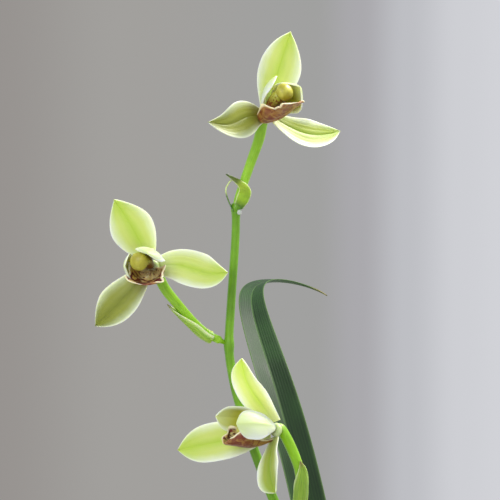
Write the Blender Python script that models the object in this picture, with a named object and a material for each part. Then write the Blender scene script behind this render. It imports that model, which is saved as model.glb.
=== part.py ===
"""Potted orchid: a small green-flowered cymbidium growing in a round clay pot.

Units are metres and +Z is up. The origin is the centre of the pot's underside, on the surface that
the pot stands on. The plant's front, towards which its flowers look, is -Y.
Three pseudobulbs stand on the potting mix, each with its own fan of leaves. The flower stem rises
beside the front one and carries three flowers, each of three sepals, two petals, a lip and a column.
"""

import math
import random

import bmesh
import bpy
from mathutils import Euler, Vector

MM = 0.001
GAP = 0.3 * MM  # clearance between pieces that touch

# ---------------------------------------------------------------- driving sizes

POT_HEIGHT = 135 * MM
POT_RIM_RADIUS = 75 * MM
POT_BASE_RADIUS = 51 * MM
POT_WALL = 5 * MM
POT_FLOOR = 6 * MM
POT_EDGE = 2 * MM  # chamfer at the foot and at the lip of the rim
RIM_BAND_HEIGHT = 17 * MM
RIM_BAND_DEPTH = 3.2 * MM  # how far the band stands out from the wall
POT_SIDES = 48
DRAIN_HOLES = 4
DRAIN_HOLE_RADIUS = 5 * MM
DRAIN_RING_RADIUS = 27 * MM

MIX_DROP = 17 * MM  # from the rim down to the surface of the mix
BED_DEPTH = 3.0 * MM  # of the pumice grit spread on the mix
STONE_SIZE = 11.0 * MM  # mean width of the larger pumice stones
STONE_PITCH = 17.5 * MM  # spacing of the stones along and between their rings
STONE_SEED = 11

BULB_RADIUS = 9 * MM
BULB_HEIGHT = 23 * MM
BULB_SIDES = 16
BULB_SHEATH_THICKNESS = 0.6 * MM
BULB_SHEATH_RISE = 8 * MM  # how far the sheath reaches above the bulb
BULB_SHEATH_CLEARANCE = 1.0 * MM

LEAF_THICKNESS = 0.9 * MM
LEAF_HALF_WIDTH = 7.6 * MM
LEAF_BASE_SHARE = 0.46  # width at the leaf's foot, as a share of its widest
OUTER_LEAF_OFFSET = 4.8 * MM  # from the middle of the fan to the foot of an outer leaf
INNER_LEAF_OFFSET = 1.7 * MM

SCAPE_BASE_RADIUS = 1.75 * MM
SCAPE_TOP_RADIUS = 1.2 * MM
SCAPE_SHEATH_THICKNESS = 0.5 * MM
SCAPE_SHEATH_CLEARANCE = 0.45 * MM

PEDICEL_BASE_RADIUS = 1.2 * MM
PEDICEL_END_RADIUS = 1.6 * MM
BRACT_THICKNESS = 0.5 * MM
BRACT_CLEARANCE = 0.45 * MM

TEPAL_THICKNESS = 0.8 * MM
SEPAL_BASE_HALF_WIDTH = 1.7 * MM
PETAL_LENGTH = 13.0 * MM
PETAL_HALF_WIDTH = 4.8 * MM
PETAL_BASE_HALF_WIDTH = 0.9 * MM
LIP_LENGTH = 13.0 * MM
LIP_HALF_WIDTH = 6.2 * MM
LIP_BASE_HALF_WIDTH = 1.0 * MM
COLUMN_LENGTH = 8.0 * MM
COLUMN_BASE_RADIUS = 1.45 * MM
COLUMN_TIP_RADIUS = 2.0 * MM
ANTHER_CAP_RADIUS = 2.6 * MM
ANTHER_CAP_DEPTH = 3.4 * MM
RING_CLEARANCE = 0.45 * MM  # from the column's foot out to the petals' feet
SEPAL_CLEARANCE = 0.35 * MM  # from the stalk's end forward to the sepals' feet
PETAL_RING_ANGLE = 54  # of a petal round the flower from its dorsal side, in degrees
PETAL_SPLAY = 15  # degrees that a petal's line opens away from the way the flower looks
LIP_DROP = 5  # degrees that the lip's line falls away from the column

# ---------------------------------------------------------------- derived places

MIX_TOP = POT_HEIGHT - MIX_DROP
BAND_FOOT = POT_HEIGHT - RIM_BAND_HEIGHT
BULB_SHEATH_RADIUS = BULB_RADIUS + BULB_SHEATH_CLEARANCE + BULB_SHEATH_THICKNESS / 2
RING_RADIUS = COLUMN_BASE_RADIUS + RING_CLEARANCE + TEPAL_THICKNESS / 2
OUTER_LEVEL = SEPAL_CLEARANCE + TEPAL_THICKNESS / 2  # of the sepals, in front of the stalk's end
INNER_LEVEL = OUTER_LEVEL + TEPAL_THICKNESS / 2 + 3 * GAP  # of the petals, lip and column

# ---------------------------------------------------------------- the three growths
# "at" is where the pseudobulb stands on the mix. A leaf is (outer or inner foot, heading of its
# foot in degrees about +Z from +X, length, rise and droop in degrees from the horizontal at its foot
# and tip, how late it bends, swing of its heading by its tip in degrees, share of the full width).

GROWTHS = {
    "front": {
        "at": (22 * MM, 10.5 * MM),
        "leaves": (
            ("outer", 295, 215 * MM, 73, -32, 1.5, -12, 0.90),
            ("outer", 104, 205 * MM, 70, -34, 1.5, -60, 0.92),
            ("inner", 295, 180 * MM, 80, -4, 1.4, 45, 0.84),
            ("inner", 116, 262 * MM, 69, -20, 4.2, -100, 0.88),
        ),
    },
    "middle": {
        "at": (-8 * MM, 25 * MM),
        "leaves": (
            ("outer", 96, 220 * MM, 70, -36, 1.4, 40, 0.95),
            ("outer", 260, 215 * MM, 70, -36, 1.4, -12, 0.95),
            ("inner", 96, 180 * MM, 80, -14, 1.2, 90, 0.84),
            ("inner", 276, 125 * MM, 84, 22, 1.3, -40, 0.74),
        ),
    },
    "rear": {
        "at": (-33 * MM, -5 * MM),
        "leaves": (
            ("outer", 310, 205 * MM, 70, -38, 1.4, -60, 0.92),
            ("outer", 130, 225 * MM, 70, -34, 1.4, 50, 0.95),
            ("inner", 130, 150 * MM, 80, 2, 1.2, 70, 0.78),
        ),
    },
}

# ---------------------------------------------------------------- the flower stem
# Points of its middle line, as (x, y, height above the mix).

SCAPE_ROUTE = (
    (10.6 * MM, -1.6 * MM, 0.6 * MM),
    (10.4 * MM, -1.4 * MM, 25 * MM),
    (9.2 * MM, -0.8 * MM, 55 * MM),
    (6.0 * MM, -0.2 * MM, 85 * MM),
    (0.6 * MM, 0.0 * MM, 114 * MM),
    (-6.0 * MM, 0.0 * MM, 140 * MM),
    (-11.4 * MM, 0.0 * MM, 153.2 * MM),
    (-17.1 * MM, 0.0 * MM, 167.9 * MM),
    (-21.6 * MM, 0.0 * MM, 181.7 * MM),
    (-23.8 * MM, 0.0 * MM, 190.4 * MM),
    (-24.9 * MM, 0.0 * MM, 198.5 * MM),
    (-24.3 * MM, 0.0 * MM, 212 * MM),
    (-22.9 * MM, 0.0 * MM, 230 * MM),
    (-22.2 * MM, 0.0 * MM, 239.4 * MM),
)

# Each sheath hugs the stem from one height above the mix to another and opens towards a heading.
SCAPE_SHEATHS = {
    "lower": (3 * MM, 33 * MM, 250),
    "middle": (40 * MM, 74 * MM, 70),
    "upper": (84 * MM, 114 * MM, 230),
}

# The stem ends in a small scale beside the last flower's stalk: points from the last node.
STEM_TIP_SCALE = {
    "points": (
        (-1.6 * MM, -0.6 * MM, 1.1 * MM),
        (-2.8 * MM, -0.8 * MM, 3.4 * MM),
        (-3.1 * MM, -1.0 * MM, 5.6 * MM),
        (-2.1 * MM, -1.3 * MM, 7.6 * MM),
    ),
    "widths": (0.9 * MM, 0.8 * MM, 0.55 * MM, 0.3 * MM),
    "inside": (1.0 * MM, -0.6 * MM, 4.6 * MM),
}

# ---------------------------------------------------------------- the three flowers
# "node" is the height above the mix where the flower's stalk leaves the stem. "route", "centre" and
# the points of a bract are offsets from that node. "facing" is where the flower looks and "up" its dorsal side.
# A sepal is (angle round the flower from its dorsal side, length, half width, heading of its tip in
# the front view, degrees that it leans towards the front, bow, curl of its tip, twist in degrees,
# sideways sweep).

FLOWERS = {
    "top_flower": {
        "node": 239.4 * MM,
        "route": (
            (1.1 * MM, -0.2 * MM, 4.2 * MM),
            (3.6 * MM, -0.8 * MM, 12.6 * MM),
            (6.0 * MM, -1.6 * MM, 20.2 * MM),
        ),
        "centre": (8.5 * MM, -4.2 * MM, 27.2 * MM),
        "facing": (0.45, -0.72, 0.53),
        "up": (0.28, 0.30, 0.95),
        "bract": {
            "points": (
                (1.9 * MM, 0.9 * MM, 1.0 * MM),
                (3.9 * MM, 0.6 * MM, 3.4 * MM),
                (4.9 * MM, -1.4 * MM, 6.0 * MM),
                (3.7 * MM, -3.4 * MM, 7.7 * MM),
                (0.9 * MM, -3.6 * MM, 9.4 * MM),
                (-2.7 * MM, -3.0 * MM, 11.2 * MM),
            ),
            "widths": (0.9 * MM, 1.9 * MM, 1.9 * MM, 1.4 * MM, 0.8 * MM, 0.3 * MM),
            "inside": (1.2 * MM, -0.6 * MM, 4.6 * MM),
        },
        "sepals": {
            "dorsal": (0, 25.0 * MM, 6.8 * MM, 74, -14, 0.05, 0.03, 0, 0.0),
            "right": (117, 22.5 * MM, 5.4 * MM, -9, -22, 0.04, 0.06, 12, 0.10),
            "left": (-115, 21.0 * MM, 6.0 * MM, 190, 44, 0.06, -0.02, -24, 0.0),
        },
    },
    "left_flower": {
        "node": 198.5 * MM,
        "route": (
            (-6.8 * MM, -1.6 * MM, 3.9 * MM),
            (-11.1 * MM, -3.0 * MM, 8.1 * MM),
            (-15.6 * MM, -4.4 * MM, 13.2 * MM),
            (-19.2 * MM, -5.8 * MM, 17.8 * MM),
        ),
        "centre": (-22.6 * MM, -9.2 * MM, 23.9 * MM),
        "facing": (-0.27, -0.95, 0.11),
        "up": (-0.30, 0.05, 0.95),
        "bract": {
            "from": 0.08,
            "to": 0.66,
            "opening": (0.6, -0.2, 0.8),
            "turn": 118,
            "flare": 0.35,
        },
        "sepals": {
            "dorsal": (0, 20.8 * MM, 6.7 * MM, 119, 8, 0.05, 0.02, 0, 0.0),
            "right": (115, 21.4 * MM, 5.5 * MM, -5, 8, 0.04, 0.03, 0, 0.0),
            "left": (-115, 23.4 * MM, 5.9 * MM, 230, -8, 0.05, 0.02, 0, 0.0),
        },
    },
    "lower_flower": {
        "node": 139.6 * MM,
        "route": (
            (2.6 * MM, -5.4 * MM, 11.6 * MM),
            (2.9 * MM, -7.6 * MM, 17.6 * MM),
            (2.4 * MM, -9.2 * MM, 23.2 * MM),
            (0.8 * MM, -10.4 * MM, 30.0 * MM),
        ),
        "centre": (-4.6 * MM, -12.6 * MM, 34.4 * MM),
        "facing": (-0.81, -0.57, -0.10),
        "up": (-0.06, -0.16, 0.98),
        "bract": {
            "from": 0.06,
            "to": 0.56,
            "opening": (-1, -0.2, 0.1),
            "turn": 118,
            "flare": 0.30,
        },
        "sepals": {
            "dorsal": (8, 22.4 * MM, 5.5 * MM, 113, 7, 0.04, 0.04, 10, 0.0),
            "right": (120, 20.5 * MM, 5.6 * MM, -91, 29, 0.04, -0.03, 0, 0.0),
            "left": (-128, 28.0 * MM, 5.5 * MM, 187, -24, 0.02, 0.02, -6, 0.0),
        },
    },
}


# ---------------------------------------------------------------- materials


def plain(name, colour, roughness):
    """A Principled material of one colour."""
    material = bpy.data.materials.new(name)
    material.use_nodes = True
    shader = material.node_tree.nodes["Principled BSDF"]
    shader.inputs["Base Color"].default_value = (*colour, 1)
    shader.inputs["Roughness"].default_value = roughness
    shader.inputs["Metallic"].default_value = 0
    material.diffuse_color = (*colour, 1)
    return material


# ---------------------------------------------------------------- modelling tools


def placed(name, mesh_or_curve, material):
    """A named object in the scene, with its one material."""
    obj = bpy.data.objects.new(name, mesh_or_curve)
    obj.data.materials.append(material)
    bpy.context.scene.collection.objects.link(obj)
    return obj


def finished_mesh(name, work, material, sharp=40):
    """Turns a bmesh into a smooth-shaded object with sharp edges kept."""
    mesh = bpy.data.meshes.new(name)
    work.to_mesh(mesh)
    work.free()
    mesh.shade_smooth()
    mesh.set_sharp_from_angle(angle=math.radians(sharp))
    return placed(name, mesh, material)


def turned(name, profile, sides, material, at=(0, 0)):
    """A solid of revolution about a vertical line: profile is (radius, height) from axis to axis."""
    work = bmesh.new()
    verts = [work.verts.new((radius, 0, height)) for radius, height in profile]
    edges = [work.edges.new(pair) for pair in zip(verts, verts[1:])]
    bmesh.ops.spin(
        work, geom=verts + edges, axis=(0, 0, 1), cent=(0, 0, 0), steps=sides, angle=2 * math.pi
    )
    bmesh.ops.remove_doubles(work, verts=work.verts, dist=0.01 * MM)
    bmesh.ops.recalc_face_normals(work, faces=work.faces)
    obj = finished_mesh(name, work, material)
    obj.location = (*at, 0)
    return obj


def smooth_line(points, per_span):
    """Points read from the Catmull-Rom curve through points, per_span to each span."""
    pts = [Vector(p) for p in points]
    pts = [2 * pts[0] - pts[1], *pts, 2 * pts[-1] - pts[-2]]
    line = []
    for before, start, end, after in zip(pts, pts[1:], pts[2:], pts[3:]):
        for step in range(per_span):
            t = step / per_span
            line.append(
                0.5
                * (
                    2 * start
                    + t * (end - before)
                    + t * t * (2 * before - 5 * start + 4 * end - after)
                    + t * t * t * (3 * start - before - 3 * end + after)
                )
            )
    return line + [pts[-2]]


def at_share(line, share):
    """The point at a share of a line's length, from 0 to 1."""
    place = max(0.0, min(1.0, share)) * (len(line) - 1)
    index = min(int(place), len(line) - 2)
    return line[index].lerp(line[index + 1], place - index)


def stalk(name, line, radius_at, material):
    """A round stalk along a line: a bevelled curve with filled caps, radius_at(share) thick."""
    curve = bpy.data.curves.new(name, "CURVE")
    curve.dimensions = "3D"
    curve.bevel_depth = 1.0
    curve.bevel_resolution = 2
    curve.use_fill_caps = True
    spline = curve.splines.new("POLY")
    spline.points.add(len(line) - 1)
    for index, point in enumerate(line):
        spline.points[index].co = (*point, 1)
        spline.points[index].radius = radius_at(index / (len(line) - 1))
    return placed(name, curve, material)


def blade(name, material, path, half_width, normal, bend, thickness, along, across, keel=None):
    """A thin closed blade, such as a leaf, tepal or sheath, laid along path(u) for u from 0 to 1.

    Across, it is an arc of half length half_width(u) that turns through bend(u) radians on each
    side of the midrib towards normal(u), and keel(u) folds it further into a V. Where the blade is
    narrow the arc turns less, so that its radius stays above the blade's thickness.
    """
    work = bmesh.new()
    bmesh.ops.create_grid(work, x_segments=across, y_segments=along, size=1)
    nudge = 0.001
    for vert in work.verts:
        v = vert.co.x
        u = (vert.co.y + 1) / 2
        tangent = (path(u + nudge) - path(u - nudge)).normalized()
        face = normal(u)
        face = (face - tangent * face.dot(tangent)).normalized()
        side = tangent.cross(face)
        half = half_width(u)
        turn = min(bend(u), half / thickness)
        sideways = half * math.sin(turn * v) / turn
        inward = half * (1 - math.cos(turn * v)) / turn
        if keel:
            inward += keel(u) * half * abs(v)
        vert.co = path(u) + side * sideways + face * inward
    obj = finished_mesh(name, work, material, sharp=180)
    walls = obj.modifiers.new("thickness", "SOLIDIFY")
    walls.thickness = thickness
    walls.offset = 0
    return obj


def wrapped(name, material, axis, radius, height, opening, thickness, turn=150, along=8, across=12):
    """A sheath rolled round a stalk: axis(u) is its middle line, and it opens towards opening."""
    bend = math.radians(turn)
    outward = -Vector(opening).normalized()

    def half_width(u):
        point = max(0.0, (u - height) / (1 - height))
        return radius(u) * bend * max(0.06, 1 - point**1.6)

    def half_turn(u):
        return half_width(u) / radius(u)

    return blade(
        name,
        material,
        lambda u: axis(u) + outward * radius(u),
        half_width,
        lambda u: -outward,
        half_turn,
        thickness,
        along,
        across,
    )


def front_heading(heading, toward):
    """A unit vector: heading is in the front view from +X towards +Z, toward leans it to -Y."""
    flat = math.cos(math.radians(toward))
    return Vector(
        (
            math.cos(math.radians(heading)) * flat,
            -math.sin(math.radians(toward)),
            math.sin(math.radians(heading)) * flat,
        )
    )


def turned_about(vector, axis, degrees):
    """vector turned about a unit axis."""
    angle = math.radians(degrees)
    along = axis * axis.dot(vector)
    return along + (vector - along) * math.cos(angle) + axis.cross(vector) * math.sin(angle)


def swell(u, widest, foot, sharpness):
    """A tepal's outline: foot at u = 0, 1 at u = widest and a point at u = 1."""
    if u < widest:
        rise = math.sin(math.pi / 2 * max(0.0, u) / widest)
        return foot + (1 - foot) * rise
    fall = min(1.0, (u - widest) / (1 - widest))
    return max(0.07, (1 - fall**sharpness) ** 1.1)


def hidden(obj):
    """Marks a cutter or a guide, which isn't a piece of the plant."""
    obj.hide_render = True
    obj.display_type = "WIRE"
    return obj


def combined(obj, other, operation):
    """Adds a Boolean of obj with a hidden other."""
    step = obj.modifiers.new(operation.lower(), "BOOLEAN")
    step.operation = operation
    step.object = hidden(other)


def cylinder(name, radius, height, place, sides, material):
    """An upright cylinder about a place."""
    work = bmesh.new()
    bmesh.ops.create_cone(
        work, cap_ends=True, segments=sides, radius1=radius, radius2=radius, depth=height
    )
    obj = finished_mesh(name, work, material)
    obj.location = place
    return obj


# ---------------------------------------------------------------- pot and mix


def wall_radius(height):
    """Outside radius of the pot's straight tapering wall."""
    taper = (POT_RIM_RADIUS - RIM_BAND_DEPTH - POT_BASE_RADIUS) / BAND_FOOT
    return POT_BASE_RADIUS + taper * height


def bore_radius(height):
    """Inside radius of the pot."""
    return wall_radius(height) - POT_WALL


def make_pot(material):
    """A tapering clay pot with a rim band and drain holes through its floor."""
    pot = turned(
        "pot",
        (
            (0, 0),
            (POT_BASE_RADIUS - POT_EDGE, 0),
            (wall_radius(POT_EDGE), POT_EDGE),
            (wall_radius(BAND_FOOT), BAND_FOOT),
            (POT_RIM_RADIUS, BAND_FOOT + POT_EDGE),
            (POT_RIM_RADIUS, POT_HEIGHT - POT_EDGE),
            (POT_RIM_RADIUS - POT_EDGE, POT_HEIGHT),
            (bore_radius(POT_HEIGHT) + POT_EDGE, POT_HEIGHT),
            (bore_radius(POT_HEIGHT - POT_EDGE), POT_HEIGHT - POT_EDGE),
            (bore_radius(POT_FLOOR), POT_FLOOR),
            (0, POT_FLOOR),
        ),
        POT_SIDES,
        material,
    )
    for index in range(DRAIN_HOLES):
        angle = 2 * math.pi * (index + 0.5) / DRAIN_HOLES
        x = DRAIN_RING_RADIUS * math.cos(angle)
        y = DRAIN_RING_RADIUS * math.sin(angle)
        place = (x, y, POT_FLOOR / 2)
        hole = cylinder(
            f"drain_{index + 1}", DRAIN_HOLE_RADIUS, 3 * POT_FLOOR, place, 16, material
        )
        combined(pot, hole, "DIFFERENCE")
    return pot


def make_mix(material):
    """The potting mix, which fills the pot up to MIX_TOP."""
    foot = POT_FLOOR + GAP
    return turned(
        "potting_mix",
        (
            (0, foot),
            (bore_radius(foot) - GAP, foot),
            (bore_radius(MIX_TOP) - GAP, MIX_TOP),
            (0, MIX_TOP),
        ),
        POT_SIDES,
        material,
    )


def make_dressing(material):
    """A bed of pumice grit on the mix, open round each growth, with stones standing out of it."""
    chance = random.Random(STONE_SEED)
    foot = MIX_TOP + GAP
    top = foot + BED_DEPTH
    bed = turned(
        "pumice_dressing",
        (
            (0, foot),
            (bore_radius(foot) - GAP, foot),
            (bore_radius(foot) - GAP, top),
            (0, top),
        ),
        POT_SIDES,
        material,
    )
    openings = [
        (Vector(growth["at"]), BULB_SHEATH_RADIUS + BULB_SHEATH_THICKNESS / 2 + 2 * GAP)
        for growth in GROWTHS.values()
    ]
    sheath_reach = SCAPE_SHEATH_CLEARANCE + SCAPE_SHEATH_THICKNESS + 2 * GAP
    openings.append((Vector(SCAPE_ROUTE[0][:2]), SCAPE_BASE_RADIUS + sheath_reach))
    largest = 1.15 * STONE_SIZE / 2
    work = bmesh.new()
    ring = bore_radius(foot) - GAP - largest
    while ring > STONE_PITCH / 2:
        count = int(2 * math.pi * ring / STONE_PITCH)
        shift = chance.random()
        for index in range(count):
            angle = 2 * math.pi * (index + shift) / count
            place = Vector((ring * math.cos(angle), ring * math.sin(angle)))
            sizes = [STONE_SIZE / 2 * chance.uniform(0.75, 1.1) for _ in range(3)]
            spin = Euler([chance.uniform(0, 2 * math.pi) for _ in range(3)])
            if any((place - spot).length < radius + largest for spot, radius in openings):
                continue
            made = bmesh.ops.create_icosphere(work, subdivisions=1, radius=1)["verts"]
            for vert in made:
                vert.co = Vector(a * b for a, b in zip(vert.co, sizes))
                vert.co.rotate(spin)
                vert.co += Vector((*place, top))
                vert.co.z = max(vert.co.z, foot + BED_DEPTH / 2)
        ring -= STONE_PITCH
    combined(bed, finished_mesh("stones", work, material, sharp=25), "UNION")
    for index, (place, radius) in enumerate(openings):
        hole = cylinder(f"opening_{index + 1}", radius, 0.05, (*place, foot), 20, material)
        combined(bed, hole, "DIFFERENCE")
    return bed


# ---------------------------------------------------------------- growths


def bulb_radius(share):
    """Radius of a pseudobulb at a share of its height: broad below the middle, closed on top."""
    return BULB_RADIUS * math.sin(math.pi * (0.2 + 0.8 * share)) ** 0.8 if share < 1 else 0.0


def make_bulb(growth, at, material):
    """One ovoid pseudobulb standing on the mix."""
    foot = MIX_TOP + GAP
    profile = [(0, foot)]
    rings = 8
    for index in range(rings + 1):
        share = index / rings
        profile.append((bulb_radius(share), foot + share * BULB_HEIGHT))
    return turned(f"{growth}_pseudobulb", profile, BULB_SIDES, material, at)


def make_bulb_sheath(growth, at, opening, material):
    """The papery sheath round a pseudobulb and the feet of its leaves."""
    foot = MIX_TOP + GAP
    rise = BULB_HEIGHT + BULB_SHEATH_RISE
    radius = BULB_SHEATH_RADIUS
    return wrapped(
        f"{growth}_bulb_sheath",
        material,
        lambda u: Vector((*at, foot + u * rise)),
        lambda u: radius,
        0.62,
        opening,
        BULB_SHEATH_THICKNESS,
        turn=158,
        along=6,
        across=14,
    )


def leaf_line(start, heading, length, rise, droop, lateness, swing, steps=60):
    """A leaf's midrib: its slope turns from rise to droop, and its heading swings sideways."""
    line = [Vector(start)]
    for index in range(steps):
        u = (index + 0.5) / steps
        slope = math.radians(rise + (droop - rise) * u**lateness)
        compass = math.radians(heading + swing * u ** (2 * lateness))
        step = Vector(
            (
                math.cos(slope) * math.cos(compass),
                math.cos(slope) * math.sin(compass),
                math.sin(slope),
            )
        )
        line.append(line[-1] + step * (length / steps))
    return line


def make_leaf(name, at, leaf, material):
    """One strap leaf, folded along its midrib, from the top of its pseudobulb."""
    foot, heading, length, rise, droop, lateness, swing, share = leaf
    compass = math.radians(heading)
    outward = Vector((math.cos(compass), math.sin(compass), 0))
    offset = OUTER_LEAF_OFFSET if foot == "outer" else INNER_LEAF_OFFSET
    start = Vector((*at, MIX_TOP + BULB_HEIGHT + 2 * GAP + LEAF_THICKNESS / 2)) + outward * offset
    line = leaf_line(start, heading, length, rise, droop, lateness, swing)
    widest = LEAF_HALF_WIDTH * share
    narrow = LEAF_BASE_SHARE * LEAF_HALF_WIDTH

    def half_width(u):
        opened = min(1.0, max(0.0, u) / 0.42)
        grown = narrow + (widest - narrow) * math.sin(opened * math.pi / 2) ** 1.4
        tip = max(0.0, (u - 0.5) / 0.5)
        return grown * max(0.05, 1 - tip**2.4)

    def upper_side(u):
        ahead = at_share(line, u + 0.02) - at_share(line, u - 0.02)
        level = Vector((-ahead.y, ahead.x, 0)).normalized()
        return ahead.cross(level).normalized()

    def upper_face(u):
        """At its foot a leaf faces the middle of its fan, and further out it faces the sky."""
        return (-outward).lerp(upper_side(u), min(1.0, max(0.0, u) / 0.3)).normalized()

    return blade(
        name,
        material,
        lambda u: at_share(line, u) if 0 <= u <= 1 else line[0] + (line[1] - line[0]) * u * 60
        if u < 0
        else line[-1] + (line[-1] - line[-2]) * (u - 1) * 60,
        half_width,
        upper_face,
        lambda u: 0.12,
        LEAF_THICKNESS,
        16,
        4,
        keel=lambda u: 0.26 + 0.2 * math.sin(math.pi * min(1.0, max(0.0, u) * 1.4)),
    )


def make_growth(growth, materials):
    """A pseudobulb with its sheath and its fan of leaves."""
    at = GROWTHS[growth]["at"]
    leaves = GROWTHS[growth]["leaves"]
    make_bulb(growth, at, materials["bulb"])
    fan = math.radians(leaves[0][1] + 90)
    make_bulb_sheath(growth, at, (math.cos(fan), math.sin(fan), 0), materials["sheath"])
    for index, leaf in enumerate(leaves):
        make_leaf(f"{growth}_leaf_{index + 1}", at, leaf, materials["leaf"])


# ---------------------------------------------------------------- flower stem

SCAPE_LINE = smooth_line([(x, y, MIX_TOP + z) for x, y, z in SCAPE_ROUTE], 5)


def scape_radius(share):
    """The stem tapers steadily from its foot to its last node."""
    return SCAPE_BASE_RADIUS + (SCAPE_TOP_RADIUS - SCAPE_BASE_RADIUS) * share


def scape_share(height):
    """The share of the stem's line at a height above the mix."""
    target = MIX_TOP + height
    last = len(SCAPE_LINE) - 1
    for index in range(last):
        low = SCAPE_LINE[index].z
        high = SCAPE_LINE[index + 1].z
        if low <= target <= high:
            return (index + (target - low) / (high - low)) / last
    return 1.0


def make_scape(materials):
    """The flower stem, with the sheaths that hug its lower half."""
    stalk("flower_stem", SCAPE_LINE, scape_radius, materials["stalk"])
    for name, (low, high, heading) in SCAPE_SHEATHS.items():
        first = scape_share(low)
        last = scape_share(high)
        opening = Vector((math.cos(math.radians(heading)), math.sin(math.radians(heading)), 0))
        hug = scape_radius(first) + SCAPE_SHEATH_CLEARANCE + SCAPE_SHEATH_THICKNESS / 2
        wrapped(
            f"stem_sheath_{name}",
            materials["scape_sheath"],
            lambda u, first=first, last=last: at_share(SCAPE_LINE, first + (last - first) * u),
            lambda u, hug=hug: hug * (1 + 0.25 * u),
            0.5,
            opening,
            SCAPE_SHEATH_THICKNESS,
            turn=152,
            along=6,
            across=8,
        )


# ---------------------------------------------------------------- flowers


def flower_frame(flower):
    """The flower's own directions: where it looks, its dorsal side, and its right in the view."""
    facing = Vector(flower["facing"]).normalized()
    up = Vector(flower["up"])
    up = (up - facing * up.dot(facing)).normalized()
    return facing, up, up.cross(facing)


def round_ring(flower, angle):
    """A unit vector from the flower's middle out to an angle round it from the dorsal side."""
    _, up, right = flower_frame(flower)
    return up * math.cos(math.radians(angle)) + right * math.sin(math.radians(angle))


def node_of(flower):
    """Where the flower's stalk leaves the stem's middle line, and the stem's radius there."""
    share = scape_share(flower["node"])
    return at_share(SCAPE_LINE, share), scape_radius(share), share


def middle_of(flower):
    """The middle of the flower, where its stalk ends and its tepals meet."""
    return node_of(flower)[0] + Vector(flower["centre"])


def pedicel_line(flower):
    """The middle line of the flower's stalk, from just clear of the stem to behind the flower."""
    node, stem_radius, share = node_of(flower)
    facing = flower_frame(flower)[0]
    first = node + Vector(flower["route"][0])
    leaving = (first - node).normalized()
    stem_way = (at_share(SCAPE_LINE, share + 0.01) - at_share(SCAPE_LINE, share - 0.01)).normalized()
    if share > 0.999:
        start = node + leaving * 2 * GAP
    else:
        cosine = leaving.dot(stem_way)
        sine = math.sqrt(1 - cosine**2)
        clear = stem_radius + 2 * GAP + PEDICEL_BASE_RADIUS * abs(cosine)
        start = node + leaving * clear / sine
    end = middle_of(flower) - facing * SEPAL_CLEARANCE
    points = [start, *(node + Vector(p) for p in flower["route"]), end - facing * 2.6 * MM, end]
    return smooth_line(points, 5)


def pedicel_radius(share):
    """The stalk thickens evenly into the ovary behind the flower."""
    blend = max(0.0, min(1.0, (share - 0.15) / 0.5))
    return PEDICEL_BASE_RADIUS + (PEDICEL_END_RADIUS - PEDICEL_BASE_RADIUS) * blend


def make_sepal(name, flower, sepal, material):
    """One sepal from its foot on the flower's ring out to its tip."""
    angle, length, width, heading, toward, bow, curl, twist, sweep = sepal
    facing = flower_frame(flower)[0]
    foot = middle_of(flower) + round_ring(flower, angle) * RING_RADIUS + facing * OUTER_LEVEL
    way = front_heading(heading, toward)
    face = (facing - way * facing.dot(way)).normalized()
    face = turned_about(face, way, twist)
    side = way.cross(face)

    def path(u):
        arch = bow * math.sin(math.pi * u) + curl * max(0.0, u) ** 3
        swing = sweep * math.sin(math.pi * u)
        return foot + way * (length * u) + face * (length * arch) + side * (length * swing)

    return blade(
        name,
        material,
        path,
        lambda u: width * swell(u, 0.55, SEPAL_BASE_HALF_WIDTH / width, 1.8),
        lambda u: face,
        lambda u: 0.25 + 0.35 * max(0.0, min(1.0, u)) ** 2,
        TEPAL_THICKNESS,
        9,
        4,
    )


def make_petal(name, flower, side, material):
    """One petal: short, broad and hooded, cupped over the column on the flower's right or left."""
    facing = flower_frame(flower)[0]
    outward = round_ring(flower, side * PETAL_RING_ANGLE)
    foot = middle_of(flower) + outward * RING_RADIUS + facing * INNER_LEVEL
    splay = math.radians(PETAL_SPLAY)
    way = facing * math.cos(splay) + outward * math.sin(splay)
    inward = -(outward - way * outward.dot(way)).normalized()

    def path(u):
        arch = 0.20 * max(0.0, u) ** 3 - 0.13 * math.sin(math.pi * u)
        return foot + way * (PETAL_LENGTH * u) + inward * (PETAL_LENGTH * arch)

    return blade(
        name,
        material,
        path,
        lambda u: PETAL_HALF_WIDTH * swell(u, 0.6, PETAL_BASE_HALF_WIDTH / PETAL_HALF_WIDTH, 2.6),
        lambda u: inward,
        lambda u: 0.35 + 0.45 * max(0.0, min(1.0, u)),
        TEPAL_THICKNESS,
        8,
        6,
    )


def lip_outline(u):
    """Half width of the lip: a narrow foot, broad side lobes, a waist and a rounded middle lobe."""
    foot = LIP_BASE_HALF_WIDTH / LIP_HALF_WIDTH
    side_lobes = foot + (1 - foot) * math.sin(math.pi / 2 * min(1.0, max(0.0, u) / 0.42)) ** 1.2
    waist = 1 - 0.42 * math.sin(math.pi * max(0.0, min(1.0, (u - 0.42) / 0.5))) ** 2
    tip = max(0.0, (u - 0.7) / 0.3)
    return LIP_HALF_WIDTH * side_lobes * waist * max(0.10, math.sqrt(max(0.0, 1 - tip**2.2)))


def make_lip(name, flower, material):
    """The lip under the column: its side lobes stand up and its middle lobe rolls down."""
    facing = flower_frame(flower)[0]
    down = round_ring(flower, 180)
    foot = middle_of(flower) + down * (RING_RADIUS + GAP) + facing * INNER_LEVEL
    drop = math.radians(LIP_DROP)
    way = facing * math.cos(drop) + down * math.sin(drop)
    upper = -(down - way * down.dot(way)).normalized()

    def path(u):
        arch = -0.05 * math.sin(math.pi * u) - 0.30 * max(0.0, u - 0.5) ** 1.6
        return foot + way * (LIP_LENGTH * u) + upper * (LIP_LENGTH * arch)

    return blade(
        name,
        material,
        path,
        lip_outline,
        lambda u: upper,
        lambda u: 0.2 + 1.15 * math.exp(-(((u - 0.42) / 0.26) ** 2)),
        TEPAL_THICKNESS,
        11,
        6,
    )


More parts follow.
